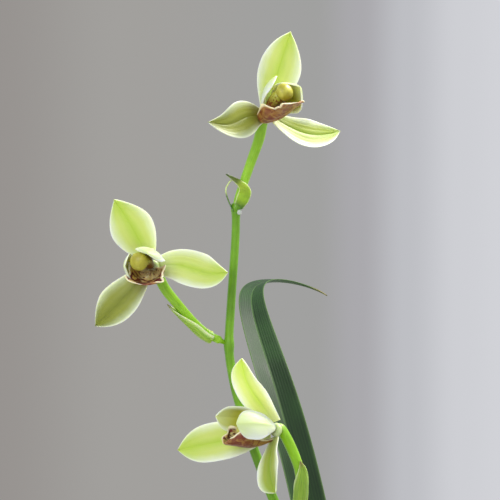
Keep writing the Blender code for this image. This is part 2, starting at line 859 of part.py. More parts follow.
def make_column(prefix, flower, materials):
    """The column between petals and lip, and the anther cap that closes its tip."""
    facing, up, _ = flower_frame(flower)
    foot = middle_of(flower) + facing * INNER_LEVEL
    line = [
        foot + facing * (COLUMN_LENGTH * u) + up * (0.10 * COLUMN_LENGTH * math.sin(math.pi * u))
        for u in (step / 8 for step in range(9))
    ]
    stalk(
        f"{prefix}_column",
        line,
        lambda share: COLUMN_BASE_RADIUS + (COLUMN_TIP_RADIUS - COLUMN_BASE_RADIUS) * share,
        materials["column"],
    )
    work = bmesh.new()
    bmesh.ops.create_uvsphere(work, u_segments=12, v_segments=8, radius=1)
    flat_back = 0.45
    for vert in work.verts:
        vert.co.x *= ANTHER_CAP_RADIUS
        vert.co.y *= ANTHER_CAP_RADIUS
        vert.co.z = max(vert.co.z, -flat_back) * ANTHER_CAP_DEPTH / (1 + flat_back)
    back = ANTHER_CAP_DEPTH * flat_back / (1 + flat_back)
    ahead = (line[-1] - line[-2]).normalized()
    tilt = ahead.to_track_quat("Z", "Y")
    tip = line[-1] + ahead * (back + 2 * GAP)
    for vert in work.verts:
        vert.co = tip + tilt @ vert.co
    bmesh.ops.remove_doubles(work, verts=work.verts, dist=0.02 * MM)
    finished_mesh(f"{prefix}_anther_cap", work, materials["cap"])


def make_bract(name, flower, line, material):
    """The floral bract: a small pointed sheath round the foot of the flower's stalk."""
    span = flower["bract"]
    if "points" in span:
        node = node_of(flower)[0]
        points = [node + Vector(p) for p in span["points"]]
        inside = node + Vector(span["inside"])
        widths = span["widths"]
        return make_ribbon(name, points, widths, inside, 0.5, BRACT_THICKNESS, material)
    hug = PEDICEL_BASE_RADIUS + BRACT_CLEARANCE + BRACT_THICKNESS / 2
    return wrapped(
        name,
        material,
        lambda u: at_share(line, span["from"] + (span["to"] - span["from"]) * u),
        lambda u: hug * (1.12 + span["flare"] * max(0.0, u) ** 2),
        0.35,
        span["opening"],
        BRACT_THICKNESS,
        turn=span["turn"],
        along=7,
        across=6,
    )


def make_ribbon(name, points, widths, inside, bend, thickness, material):
    """A narrow pointed scale along points, whose inner face looks towards the point inside."""
    line = smooth_line(points, 6)
    inside = Vector(inside)

    def path(u):
        if u < 0:
            return line[0] + (line[1] - line[0]) * u * (len(line) - 1)
        if u > 1:
            return line[-1] + (line[-1] - line[-2]) * (u - 1) * (len(line) - 1)
        return at_share(line, u)

    def half_width(u):
        place = max(0.0, min(1.0, u)) * (len(widths) - 1)
        index = min(int(place), len(widths) - 2)
        return widths[index] + (widths[index + 1] - widths[index]) * (place - index)

    return blade(
        name,
        material,
        path,
        half_width,
        lambda u: inside - path(u),
        lambda u: bend,
        thickness,
        12,
        4,
    )


def make_flower(prefix, flower, materials):
    """One flower with its stalk and bract."""
    line = pedicel_line(flower)
    stalk(f"{prefix}_stalk", line, pedicel_radius, materials["stalk"])
    make_bract(f"{prefix}_bract", flower, line, materials["bract"])
    for place, sepal in flower["sepals"].items():
        make_sepal(f"{prefix}_{place}_sepal", flower, sepal, materials["sepal"])
    make_petal(f"{prefix}_right_petal", flower, 1, materials["petal"])
    make_petal(f"{prefix}_left_petal", flower, -1, materials["petal"])
    make_lip(f"{prefix}_lip", flower, materials["lip"])
    make_column(prefix, flower, materials)


# ---------------------------------------------------------------- the whole plant

for old in list(bpy.data.objects):
    bpy.data.objects.remove(old, do_unlink=True)

MATERIALS = {
    "pot": plain("clay", (0.42, 0.19, 0.11), 0.85),
    "mix": plain("potting_mix", (0.10, 0.065, 0.04), 0.95),
    "stones": plain("pumice", (0.52, 0.44, 0.34), 0.95),
    "bulb": plain("pseudobulb", (0.20, 0.32, 0.07), 0.5),
    "sheath": plain("dry_sheath", (0.42, 0.34, 0.20), 0.8),
    "leaf": plain("leaf", (0.05, 0.15, 0.04), 0.4),
    "stalk": plain("stalk", (0.18, 0.40, 0.03), 0.4),
    "scape_sheath": plain("stem_sheath", (0.30, 0.42, 0.12), 0.55),
    "bract": plain("bract", (0.35, 0.48, 0.12), 0.5),
    "sepal": plain("sepal", (0.60, 0.76, 0.20), 0.5),
    "petal": plain("petal", (0.75, 0.84, 0.52), 0.5),
    "lip": plain("lip", (0.55, 0.38, 0.16), 0.5),
    "column": plain("column", (0.60, 0.66, 0.20), 0.45),
    "cap": plain("anther_cap", (0.62, 0.62, 0.14), 0.45),
}

make_pot(MATERIALS["pot"])
make_mix(MATERIALS["mix"])
make_dressing(MATERIALS["stones"])
for growth_name in GROWTHS:
    make_growth(growth_name, MATERIALS)
make_scape(MATERIALS)
for flower_name, flower_parts in FLOWERS.items():
    make_flower(flower_name, flower_parts, MATERIALS)
make_ribbon(
    "stem_tip_scale",
    [SCAPE_LINE[-1] + Vector(p) for p in STEM_TIP_SCALE["points"]],
    STEM_TIP_SCALE["widths"],
    SCAPE_LINE[-1] + Vector(STEM_TIP_SCALE["inside"]),
    0.3,
    BRACT_THICKNESS,
    MATERIALS["bract"],
)
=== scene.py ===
"""Potted orchid: the looks of a small green-flowered cymbidium growing in a round clay pot.

Units are metres and +Z is up. The origin is the centre of the pot's underside, and the plant's
front, towards which its flowers look, is -Y. Each section makes one group of pieces, from the pot
up to the flowers: its sizes, its finish and its surfaces, which are worked out on grids.
"""

import math

import bpy
import numpy as np
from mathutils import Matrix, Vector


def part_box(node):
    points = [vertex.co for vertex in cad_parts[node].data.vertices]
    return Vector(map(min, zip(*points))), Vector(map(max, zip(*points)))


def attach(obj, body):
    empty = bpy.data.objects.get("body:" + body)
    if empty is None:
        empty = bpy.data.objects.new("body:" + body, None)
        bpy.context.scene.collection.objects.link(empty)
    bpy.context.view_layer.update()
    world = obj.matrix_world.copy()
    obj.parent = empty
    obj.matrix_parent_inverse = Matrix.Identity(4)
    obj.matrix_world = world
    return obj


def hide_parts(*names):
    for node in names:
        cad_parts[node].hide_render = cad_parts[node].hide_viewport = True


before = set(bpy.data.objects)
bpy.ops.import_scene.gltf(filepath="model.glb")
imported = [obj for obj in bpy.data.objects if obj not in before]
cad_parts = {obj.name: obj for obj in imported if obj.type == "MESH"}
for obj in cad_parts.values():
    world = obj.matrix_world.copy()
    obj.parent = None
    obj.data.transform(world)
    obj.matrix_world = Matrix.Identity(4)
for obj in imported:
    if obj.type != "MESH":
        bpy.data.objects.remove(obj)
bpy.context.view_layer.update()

MM = 0.001

# ---------------------------------------------------------------- view, light and floor
# The plant stands on a pale floor and is seen level from its front, at the height of its flowers.
# A broad lamp high on the right and a little behind lights the flowers through, and a weaker one
# fills in from the left front. The backdrop seen behind the plant is painted light: it runs from warm
# grey on the left to pale on the right, as if lit from the right, while the scene is lit by one even colour.

VIEW_AIM = (-18 * MM, 0, 345 * MM)
VIEW_DISTANCE = 650 * MM
VIEW_WIDTH = 150 * MM  # width seen at the flower stem
FLOOR_RADIUS = 1.4
FLOOR_FADE = 0.35  # width of the floor's fading edge


def tint(code):
    """A linear colour from a six-letter display code."""
    parts = [int(code[place : place + 2], 16) / 255 for place in (0, 2, 4)]
    return (*(((p + 0.055) / 1.055) ** 2.4 if p > 0.04045 else p / 12.92 for p in parts), 1)


class Wiring:
    """Short calls that add and link the nodes of one node tree."""

    def __init__(self, tree):
        self.tree = tree

    def node(self, kind, inputs, output=0, **settings):
        """Adds a node, sets or links its inputs and returns one of its outputs."""
        made = self.tree.nodes.new("ShaderNode" + kind)
        for key, value in settings.items():
            setattr(made, key, value)
        for key, value in inputs.items():
            self.put(made.inputs[key], value)
        return made.outputs[output]

    def put(self, socket, value):
        """Links value to a socket if it is an output, and otherwise sets it."""
        if isinstance(value, bpy.types.NodeSocket):
            self.tree.links.new(value, socket)
        else:
            socket.default_value = value

    def maths(self, operation, *values):
        """One Math node."""
        return self.node("Math", dict(enumerate(values)), operation=operation)

    def between(self, value, low, high, bottom=0.0, top=1.0):
        """Bottom up to low, top from high on, and a smooth rise in between."""
        inputs = {0: value, 1: low, 2: high, 3: bottom, 4: top}
        return self.node("MapRange", inputs, interpolation_type="SMOOTHSTEP")

    def mix(self, share, first, second):
        """A colour part of the way from first to second."""
        return self.node("Mix", {0: share, 6: first, 7: second}, 2, data_type="RGBA")

    def ramp(self, value, *stops):
        """A colour read from stops of (place, colour), smoothed."""
        made = self.tree.nodes.new("ShaderNodeValToRGB")
        made.color_ramp.interpolation = "EASE"
        marks = made.color_ramp.elements
        marks[0].position, marks[0].color = stops[0]
        marks[-1].position, marks[-1].color = stops[-1]
        for place, colour in stops[1:-1]:
            marks.new(place).color = colour
        self.put(made.inputs[0], value)
        return made.outputs[0]

    def laid(self, colour, *layers):
        """A colour with layers laid over it in turn, each a (share, code of its tint)."""
        for share, code in layers:
            colour = self.mix(share, colour, tint(code))
        return colour

    def noise(self, vector, scale, detail=2.0, distortion=0.0):
        """Cloudy noise from 0 to 1; scale is in waves to the metre on Object coordinates."""
        inputs = {"Vector": vector, "Scale": scale, "Detail": detail, "Distortion": distortion}
        return self.node("TexNoise", inputs)

    def scaled(self, vector, *sizes):
        """A vector scaled along its three axes."""
        return self.node("Mapping", {"Vector": vector, "Scale": sizes})


def aimed_lamp(name, place, size, power, colour):
    """A square soft lamp that looks at the middle of the view."""
    lamp = bpy.data.lights.new(name, "AREA")
    lamp.size = size
    lamp.energy = power
    lamp.color = colour
    obj = bpy.data.objects.new(name, lamp)
    bpy.context.scene.collection.objects.link(obj)
    obj.location = place
    ahead = obj.location.copy()
    ahead.x, ahead.y, ahead.z = (a - p for a, p in zip(VIEW_AIM, place))
    obj.rotation_euler = ahead.to_track_quat("-Z", "Y").to_euler()


camera = bpy.data.objects.new("camera", bpy.data.cameras.new("camera"))
camera.data.sensor_width = 36
camera.data.lens = camera.data.sensor_width * VIEW_DISTANCE / VIEW_WIDTH
camera.location = (VIEW_AIM[0], VIEW_AIM[1] - VIEW_DISTANCE, VIEW_AIM[2])
camera.rotation_euler = (math.pi / 2, 0, 0)
bpy.context.scene.collection.objects.link(camera)
bpy.context.scene.camera = camera
bpy.context.scene.view_settings.view_transform = "Standard"

aimed_lamp("key_lamp", (0.42, 0.22, 0.95), 0.30, 11.0, (1.0, 0.97, 0.90))
aimed_lamp("front_lamp", (-0.35, -0.80, 0.75), 0.60, 5.0, (0.95, 0.98, 1.0))

world = bpy.data.worlds.new("studio")
world.use_nodes = True
bpy.context.scene.world = world
sky = Wiring(world.node_tree)
across_view = sky.node("SeparateXYZ", {0: sky.node("TexCoord", {}, "Generated")}, "X")
# Painted light on the backdrop: camera rays see a ramp from warm grey on the left to pale on the right, as
# if lit from the right.
backdrop = sky.ramp(
    sky.node("MapRange", {0: across_view, 1: -0.12, 2: 0.12}),
    (0.0, tint("979390")),
    (0.26, tint("a2a09d")),
    (0.62, tint("a1a1a0")),
    (0.71, tint("aaa9ad")),
    (0.80, tint("bebfc4")),
    (0.90, tint("cecfd4")),
    (1.0, tint("d2d3d8")),
)
seen = sky.node("LightPath", {}, "Is Camera Ray")
glow = sky.mix(seen, (0.62, 0.66, 0.70, 1), backdrop)
sky.put(sky.tree.nodes["Background"].inputs["Color"], glow)


class Finish(Wiring):
    """A Principled material; values are set on its sockets by name."""

    def __init__(self, name, values):
        self.material = bpy.data.materials.new(name)
        self.material.use_nodes = True
        super().__init__(self.material.node_tree)
        self.shader = self.tree.nodes["Principled BSDF"]
        for socket, value in values.items():
            self.put(self.shader.inputs[socket], value)
        self.place = self.node("TexCoord", {}, "Object")

    def colour(self, value):
        """Sets or links the base colour."""
        self.put(self.shader.inputs["Base Color"], value)

    def roughness(self, value):
        """Links the roughness."""
        self.put(self.shader.inputs["Roughness"], value)

    def raised(self, height, depth):
        """Bump from a height of 0 to 1, depth metres deep."""
        bump = self.node("Bump", {"Height": height, "Distance": depth, "Strength": 1.0})
        self.put(self.shader.inputs["Normal"], bump)


floor_finish = Finish("floor", {"Roughness": 0.7, "Base Color": (0.62, 0.62, 0.61, 1)})
floor_reach = floor_finish.node("VectorMath", {0: floor_finish.place}, "Value", operation="LENGTH")
floor_alpha = floor_finish.between(floor_reach, FLOOR_RADIUS - FLOOR_FADE, FLOOR_RADIUS, 1.0, 0.0)
floor_finish.put(floor_finish.shader.inputs["Alpha"], floor_alpha)
floor_turn = np.linspace(0, 2 * math.pi, 97)[:-1]
floor_rim = np.stack([np.cos(floor_turn), np.sin(floor_turn), 0 * floor_turn], -1) * FLOOR_RADIUS
floor_mesh = bpy.data.meshes.new("floor")
floor_mesh.from_pydata(floor_rim.tolist(), [], [list(range(len(floor_turn)))])
floor_mesh.materials.append(floor_finish.material)
floor = bpy.data.objects.new("floor", floor_mesh)
bpy.context.scene.collection.objects.link(floor)

# ---------------------------------------------------------------- pot
# A machine-thrown flowerpot of unglazed red clay, tapering to its foot, with a plain rim band and
# four drain holes through its floor. Lime from the water has bloomed white on its outside.

POT_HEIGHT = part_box("pot")[1].z
POT_RIM_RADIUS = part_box("pot")[1].x
POT_BASE_RADIUS = 51 * MM
POT_WALL = 5 * MM
POT_FLOOR = 6 * MM
POT_ROUNDING = 1.3 * MM
RIM_BAND_HEIGHT = 17 * MM
RIM_BAND_DEPTH = 3.2 * MM
BAND_FOOT = POT_HEIGHT - RIM_BAND_HEIGHT
DRAIN_HOLES = 4
DRAIN_HOLE_RADIUS = 5 * MM
DRAIN_RING_RADIUS = 27 * MM
DRILL_SIDES = 32
THROWING_PITCH = 6.5 * MM  # of the faint spiral that the thrower's fingers leave
THROWING_DEPTH = 0.07 * MM
WALL_SWAY = 0.16 * MM


def unit(vectors):
    """Vectors of length one."""
    return vectors / np.linalg.norm(vectors, axis=-1, keepdims=True)


def uneven(points, width, seed, waves=12):
    """Smooth random height of about -1 to 1: a sum of plane waves of random headings and phases,
    each about width long."""
    chance = np.random.default_rng(seed)
    pitch = 2 * math.pi / width * chance.uniform(0.6, 1.5, (waves, 1))
    headings = unit(chance.normal(size=(waves, 3))) * pitch
    return np.sin(points @ headings.T + chance.uniform(0, 2 * math.pi, waves)).sum(-1) / waves**0.5


def solid_of(name, points, faces, finish, replaced=(), uv=None, sharp=None):
    """Puts a closed piece into the scene on the plant's one body. faces is a list of arrays of
    corner numbers, one row to a face, and uv has a matching array of UV places for each."""
    volume = 0.0
    for corners in faces:
        for step in range(1, corners.shape[1] - 1):
            a, b, c = points[corners[:, 0]], points[corners[:, step]], points[corners[:, step + 1]]
            volume += (a * np.cross(b, c)).sum()
    if volume < 0:
        faces = [corners[:, ::-1] for corners in faces]
        uv = [places[:, ::-1] for places in uv] if uv else None
    mesh = bpy.data.meshes.new(name)
    sizes = np.concatenate([np.full(len(corners), corners.shape[1]) for corners in faces])
    loops = np.concatenate([corners.ravel() for corners in faces])
    mesh.vertices.add(len(points))
    mesh.vertices.foreach_set("co", points.astype(np.float32).ravel())
    mesh.loops.add(len(loops))
    mesh.loops.foreach_set("vertex_index", loops.astype(np.int32))
    mesh.polygons.add(len(sizes))
    mesh.polygons.foreach_set("loop_start", np.cumsum(np.r_[0, sizes[:-1]]).astype(np.int32))
    if uv:
        layer = mesh.uv_layers.new(name="surface")
        layer.data.foreach_set("uv", np.concatenate([p.ravel() for p in uv]).astype(np.float32))
    mesh.update(calc_edges=True)
    mesh.shade_smooth()
    if sharp:
        mesh.set_sharp_from_angle(angle=math.radians(sharp))
    mesh.materials.append(finish.material)
    piece = bpy.data.objects.new(name, mesh)
    bpy.context.scene.collection.objects.link(piece)
    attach(piece, "root")
    if replaced:
        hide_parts(*replaced)
    return piece


def skin(name, rings, finish, replaced=(), across=None):
    """Joins rings of points, an array of (rings, points, 3), each to the next, and closes both
    ends with a point. The UV map runs across the ring in x and from the first ring to the last
    in y."""
    count, around = rings.shape[:2]
    points = np.concatenate([rings.reshape(-1, 3), rings[[0, -1]].mean(axis=1)])
    here = np.arange(count * around).reshape(count, around)
    after = np.roll(here, -1, axis=1)
    poles = np.full(around, count * around)
    faces = [
        np.stack([here[:-1], after[:-1], after[1:], here[1:]], -1).reshape(-1, 4),
        np.stack([after[0], here[0], poles], -1),
        np.stack([here[-1], after[-1], poles + 1], -1),
    ]
    x = np.linspace(0, 1, around + 1) if across is None else across
    grid = np.stack(np.meshgrid(x, np.linspace(0, 1, count)), -1)
    middle = (grid[:, 1:] + grid[:, :-1]) / 2
    uv = [
        np.stack([grid[:-1, :-1], grid[:-1, 1:], grid[1:, 1:], grid[1:, :-1]], 2).reshape(-1, 4, 2),
        np.stack([grid[0, 1:], grid[0, :-1], middle[0]], 1),
        np.stack([grid[-1, :-1], grid[-1, 1:], middle[-1]], 1),
    ]
    return solid_of(name, points, faces, finish, replaced, uv)


def softened(corners, rounding, spacing):
    """A profile through corners, each rounded by a curve that starts rounding before it, and with
    points about spacing apart."""
    corners = np.array(corners, float)
    line = [corners[:1]]
    for before, corner, after in zip(corners, corners[1:], corners[2:]):
        back, ahead = before - corner, after - corner
        start = corner + back * min(0.5, rounding / np.linalg.norm(back))
        end = corner + ahead * min(0.5, rounding / np.linalg.norm(ahead))
        t = np.linspace(0, 1, 6)[:, None]
        line.append((1 - t) ** 2 * start + 2 * t * (1 - t) * corner + t**2 * end)
    line = np.concatenate([*line, corners[-1:]])
    spans = [line[:1]]
    for start, end in zip(line, line[1:]):
        steps = max(1, int(np.linalg.norm(end - start) / spacing))
        spans.append(start + (end - start) * np.arange(1, steps + 1)[:, None] / steps)
    return np.concatenate(spans)


def lathe(profile, around, centre=(0, 0)):
    """Rings of a turned shape: profile is (radius, height), about an upright line."""
    turn = np.linspace(0, 2 * math.pi, around, endpoint=False)
    radius, height = profile[:, 0, None], profile[:, 1, None]
    x = centre[0] + radius * np.cos(turn)
    y = centre[1] + radius * np.sin(turn)
    return np.stack([x, y, height + 0 * turn], -1)


def wall_radius(height):
    """Outside radius of the pot's straight tapering wall."""
    taper = (POT_RIM_RADIUS - RIM_BAND_DEPTH - POT_BASE_RADIUS) / BAND_FOOT
    return POT_BASE_RADIUS + taper * height


def bore_radius(height):
    """Inside radius of the pot."""
    return wall_radius(height) - POT_WALL


clay = Finish("clay", {"Specular IOR Level": 0.25})
clay_height = clay.node("SeparateXYZ", {0: clay.place}, "Z")
clay_cloud = clay.noise(clay.place, 26, 4)
clay_bands = clay.noise(clay.scaled(clay.place, 9, 9, 260), 1.0, 3, 0.4)
clay_grain = clay.noise(clay.place, 1500, 3)
clay_specks = clay.node("TexVoronoi", {"Vector": clay.place, "Scale": 520, "Randomness": 1.0})
lime_cloud = clay.noise(clay.scaled(clay.place, 30, 30, 16), 1.0, 6, 0.8)
lime_low = clay.between(clay_height, 0.002, 0.055, 0.16, 0.0)
lime_high = clay.between(clay_height, POT_HEIGHT - 0.040, POT_HEIGHT - 0.012, 0.0, 0.10)
lime_level = clay.maths("ADD", lime_cloud, clay.maths("ADD", lime_low, lime_high))
lime_crust = clay.between(clay_grain, 0.3, 0.6, 0.15, 0.55)
lime = clay.maths("MULTIPLY", clay.between(lime_level, 0.58, 0.78), lime_crust)
clay_colour = clay.laid(
    tint("a2603f"),
    (clay.between(clay_cloud, 0.3, 0.7), "bb7450"),
    (clay.between(clay_bands, 0.42, 0.75, 0.0, 0.45), "c98a66"),
    (clay.between(clay_specks, 0.10, 0.22, 0.45, 0.0), "6e3a26"),
    (lime, "ddcdb9"),
)
clay.colour(clay_colour)
clay.roughness(clay.between(clay_grain, 0.3, 0.7, 0.74, 0.95))
clay_relief = clay.maths("MULTIPLY_ADD", clay_grain, 0.35, clay.maths("MULTIPLY", clay_bands, 0.5))
clay_pits = clay.between(clay_specks, 0.05, 0.20, -0.5, 0.0)
clay.raised(clay.maths("ADD", clay_relief, clay_pits), 0.35 * MM)

pot_profile = softened(
    (
        (0.5 * MM, 0.5 * MM),
        (POT_BASE_RADIUS - 7 * MM, 0.5 * MM),
        (POT_BASE_RADIUS - 6 * MM, 0),
        (POT_BASE_RADIUS - 1 * MM, 0),
        (wall_radius(2 * MM), 2 * MM),
        (wall_radius(BAND_FOOT), BAND_FOOT),
        (POT_RIM_RADIUS - 0.4 * MM, BAND_FOOT + 1.6 * MM),
        (POT_RIM_RADIUS, POT_HEIGHT - 1.5 * MM),
        (POT_RIM_RADIUS - 1.5 * MM, POT_HEIGHT),
        (bore_radius(POT_HEIGHT) + 1.2 * MM, POT_HEIGHT),
        (bore_radius(POT_HEIGHT - 2 * MM), POT_HEIGHT - 2 * MM),
        (bore_radius(POT_FLOOR), POT_FLOOR),
        (0.5 * MM, POT_FLOOR),
    ),
    POT_ROUNDING,
    1.6 * MM,
)
pot_rings = lathe(pot_profile, 168)
pot_compass = np.arctan2(pot_rings[..., 1], pot_rings[..., 0])
throwing = np.sin(pot_rings[..., 2] * 2 * math.pi / THROWING_PITCH + 2 * pot_compass)
sideways = pot_rings * (1, 1, 0)
outside = (np.linalg.norm(sideways, axis=-1) > POT_BASE_RADIUS - 2 * MM) & (pot_rings[..., 2] > 3 * MM)
wall_shift = THROWING_DEPTH * throwing + WALL_SWAY * uneven(pot_rings, 60 * MM, 4)
pot_rings += unit(sideways) * (wall_shift * outside)[..., None]
pot = skin("clay_pot", pot_rings, clay, ["pot"])

drill = bpy.data.meshes.new("drain_drill")
drill_turn = 2 * math.pi * (np.arange(DRAIN_HOLES) + 0.5) / DRAIN_HOLES
drill_edge = np.array([(DRAIN_HOLE_RADIUS, -POT_FLOOR), (DRAIN_HOLE_RADIUS, 2 * POT_FLOOR)])
drill_foot = np.arange(DRILL_SIDES)
drill_top = drill_foot + DRILL_SIDES
drill_wall = [drill_foot, np.roll(drill_foot, -1), np.roll(drill_top, -1), drill_top]
drill_points = []
drill_faces = []
for hole, turn in enumerate(drill_turn):
    centre = (DRAIN_RING_RADIUS * math.cos(turn), DRAIN_RING_RADIUS * math.sin(turn))
    drill_points += lathe(drill_edge, DRILL_SIDES, centre).reshape(-1, 3).tolist()
    for corners in (drill_foot[None, ::-1], drill_top[None], np.stack(drill_wall, -1)):
        drill_faces += (corners + hole * 2 * DRILL_SIDES).tolist()
drill.from_pydata(drill_points, [], drill_faces)
drill_bit = bpy.data.objects.new("drain_drill", drill)
bpy.context.scene.collection.objects.link(drill_bit)
cut = pot.modifiers.new("drain holes", "BOOLEAN")
cut.operation = "DIFFERENCE"
cut.object = drill_bit
bpy.context.view_layer.update()
drilled = bpy.data.meshes.new_from_object(pot.evaluated_get(bpy.context.evaluated_depsgraph_get()))
pot.modifiers.clear()
pot.data = drilled
bpy.data.objects.remove(drill_bit)

# ---------------------------------------------------------------- potting mix
# Composted bark and grit, dark with water, packed into the pot to a finger's width below its rim.
# It shows between the stones of the dressing and through the drain holes.

MIX_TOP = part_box("potting_mix")[1].z
MIX_CLEARANCE = 0.3 * MM

bark = Finish("damp_bark", {"Roughness": 0.85})
bark_bits = bark.node("TexVoronoi", {"Vector": bark.scaled(bark.place, 1, 1.6, 1), "Scale": 260}, "Color")
bark_shade = bark.node("SeparateColor", {0: bark_bits}, "Red")
bark_fine = bark.noise(bark.place, 900, 4)
bark_colour = bark.laid(
    tint("2e2018"),
    (bark.between(bark_shade, 0.1, 0.9), "5d4330"),
    (bark.between(bark_fine, 0.55, 0.8, 0.0, 0.5), "7c6650"),
)
bark.colour(bark_colour)
bark.raised(bark.maths("ADD", bark_shade, bark_fine), 1.2 * MM)

mix_foot = POT_FLOOR + MIX_CLEARANCE
mix_profile = softened(
    (
        (0.4 * MM, mix_foot),
        (bore_radius(mix_foot) - MIX_CLEARANCE, mix_foot),
        (bore_radius(MIX_TOP) - MIX_CLEARANCE, MIX_TOP),
        (0.4 * MM, MIX_TOP),
    ),
    0.5 * MM,
    2.0 * MM,
)
mix_rings = lathe(mix_profile, 120)
mix_lumps = uneven(mix_rings, 5 * MM, 8) * 0.35 * MM - 0.5 * MM
mix_rings[..., 2] += mix_lumps * (mix_rings[..., 2] > MIX_TOP - 1 * MM)
skin("bark_mix", mix_rings, bark, ["potting_mix"])

# ---------------------------------------------------------------- pumice dressing
# Crushed pumice spread by hand on the mix: a bed of sharp grit with larger stones lying in it. The
# pieces are pale buff, porous and dusty, and stop short of the bulbs and of the stem.

GROWTH_SPOTS = {"front": (22, 10.5), "middle": (-8, 25), "rear": (-33, -5)}  # mm, on the mix
STEM_SPOT = (10.6, -1.6)
BULB_OPENING = 11.4 * MM
STEM_OPENING = 3.3 * MM
BED_TOP = MIX_TOP + 2.9 * MM
GRIT_PITCH = 4.1 * MM
GRIT_SIZE = 2.7 * MM  # mean radius
STONE_PITCH = 15.5 * MM
STONE_SIZE = 4.9 * MM
DRESSING_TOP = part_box("pumice_dressing")[1].z

plant_feet = [(np.array(spot) * MM, BULB_OPENING) for spot in GROWTH_SPOTS.values()]
plant_feet.append((np.array(STEM_SPOT) * MM, STEM_OPENING))


def clear_of_plant(spots):
    """Distance from each spot on the mix to the nearest opening's edge, below zero inside it."""
    reach = [np.linalg.norm(spots - foot, axis=-1) - radius for foot, radius in plant_feet]
    return np.min(reach, axis=0)


pumice = Finish("pumice", {"Roughness": 0.95, "Specular IOR Level": 0.2})
pumice_cloud = pumice.noise(pumice.place, 150, 2)
pumice_pores = pumice.node("TexVoronoi", {"Vector": pumice.place, "Scale": 1100}, "Distance")
pumice_grain = pumice.noise(pumice.place, 1400, 4)
pumice_colour = pumice.ramp(
    pumice_cloud,
    (0.28, tint("a8937a")),
    (0.42, tint("c9b898")),
    (0.55, tint("d6cab0")),
    (0.68, tint("b89a78")),
)
pumice_holes = pumice.between(pumice_pores, 0.12, 0.30, 0.75, 0.0)
pumice_dust = pumice.between(pumice_grain, 0.55, 0.75, 0.0, 0.4)
pumice.colour(pumice.laid(pumice_colour, (pumice_holes, "6d5a48"), (pumice_dust, "efe8da")))
pumice.raised(pumice.maths("SUBTRACT", pumice_grain, pumice_holes), 0.5 * MM)

bed_foot = MIX_TOP - 0.6 * MM
bed_reach = bore_radius(MIX_TOP) - MIX_CLEARANCE
bed_profile = softened(
    ((0.4 * MM, bed_foot), (bed_reach, bed_foot), (bed_reach, BED_TOP), (0.4 * MM, BED_TOP)),
    0.6 * MM,
    0.9 * MM,
)
bed_rings = lathe(bed_profile, 220)
bed_upper = bed_rings[..., 2] > BED_TOP - 1 * MM
bed_lift = 0.45 * MM * uneven(bed_rings, 3.2 * MM, 21) + 0.4 * MM * uneven(bed_rings, 1.6 * MM, 22)
bed_dip = np.clip(clear_of_plant(bed_rings[..., :2]) / (1.5 * MM), 0, 1)
bed_rings[..., 2] += np.where(bed_upper, bed_lift - 1.0 * MM - (1 - bed_dip) * 2.0 * MM, 0)
skin("pumice_bed", bed_rings, pumice, ["pumice_dressing"])


def scattered(pitch, reach, seed):
    """Spots on a disc, about pitch apart, on a hexagonal grid shaken by a third of the pitch."""
    chance = np.random.default_rng(seed)
    steps = np.arange(-int(reach / pitch) - 2, int(reach / pitch) + 3)
    row, column = np.meshgrid(steps, steps)
    spots = np.stack([column + row % 2 / 2, row * 3**0.5 / 2], -1).reshape(-1, 2) * pitch
    spots = spots + chance.uniform(-0.33, 0.33, spots.shape) * pitch
    return spots[np.linalg.norm(spots, axis=-1) < reach]


def chipped_stones(spots, size, sunk, slices, around, seed):
    """Angular stones: a ball for each spot, squeezed at random, cut by random planes and turned.
    Returns points (stones, slices * around + 2, 3) and the faces of one stone."""
    chance = np.random.default_rng(seed)
    count = len(spots)
    lift = np.linspace(0, math.pi, slices + 2)[1:-1, None]
    turn = np.linspace(0, 2 * math.pi, around, endpoint=False) + 0 * lift
    ball = np.stack([np.sin(lift) * np.cos(turn), np.sin(lift) * np.sin(turn), np.cos(lift) + 0 * turn], -1)
    ball = np.concatenate([ball.reshape(-1, 3), [(0, 0, 1), (0, 0, -1)]])
    stones = np.repeat(ball[None], count, axis=0)
    for _ in range(9):
        normal = unit(chance.normal(size=(count, 1, 3)))
        depth = chance.uniform(0.55, 0.9, (count, 1))
        beyond = np.maximum(0, (stones * normal).sum(-1) - depth)
        stones = stones - normal * beyond[..., None]
    stones = stones * chance.uniform(0.7, 1.2, (count, 1, 3))
    axes = np.linalg.qr(chance.normal(size=(count, 3, 3)))[0]
    stones = np.einsum("nij,nkj->nki", axes, stones)
    stones = stones * (size * chance.uniform(0.62, 1.15, (count, 1, 1)))
    height = BED_TOP - sunk + size * chance.uniform(-0.25, 0.2, count)
    stones = stones + np.stack([spots[:, 0], spots[:, 1], height], -1)[:, None]
    return stones, ball_faces(slices, around)


def ball_faces(slices, around):
    """Quads and triangles of a ball of rings with two poles after its rings."""
    here = np.arange(slices * around).reshape(slices, around)
    after = np.roll(here, -1, axis=1)
    pole = np.full(around, slices * around)
    quads = np.stack([here[:-1], here[1:], after[1:], after[:-1]], -1).reshape(-1, 4)
    top = np.stack([here[0], after[0], pole], -1)
    foot = np.stack([after[-1], here[-1], pole + 1], -1)
    return quads, np.concatenate([top, foot])


def stone_piece(name, stones, faces):
    """One piece of many stones."""
    count, corners = stones.shape[:2]
    shift = (np.arange(count) * corners)[:, None, None]
    groups = [(shape[None] + shift).reshape(-1, shape.shape[1]) for shape in faces]
    return solid_of(name, stones.reshape(-1, 3), groups, pumice, sharp=32)


grit_spots = scattered(GRIT_PITCH, bed_reach - 2.2 * MM, 31)
grit_spots = grit_spots[clear_of_plant(grit_spots) > 1.0 * MM]
stone_piece("pumice_grit", *chipped_stones(grit_spots, GRIT_SIZE, 0.6 * MM, 4, 7, 32))
stone_spots = scattered(STONE_PITCH, bed_reach - 5.5 * MM, 33)
stone_spots = stone_spots[clear_of_plant(stone_spots) > 4.6 * MM]
large, large_faces = chipped_stones(stone_spots, STONE_SIZE, -1.2 * MM, 9, 14, 34)
large[..., 2] -= np.maximum(0, large[..., 2].max(axis=1, keepdims=True) - DRESSING_TOP)
stone_piece("pumice_stones", large, large_faces)

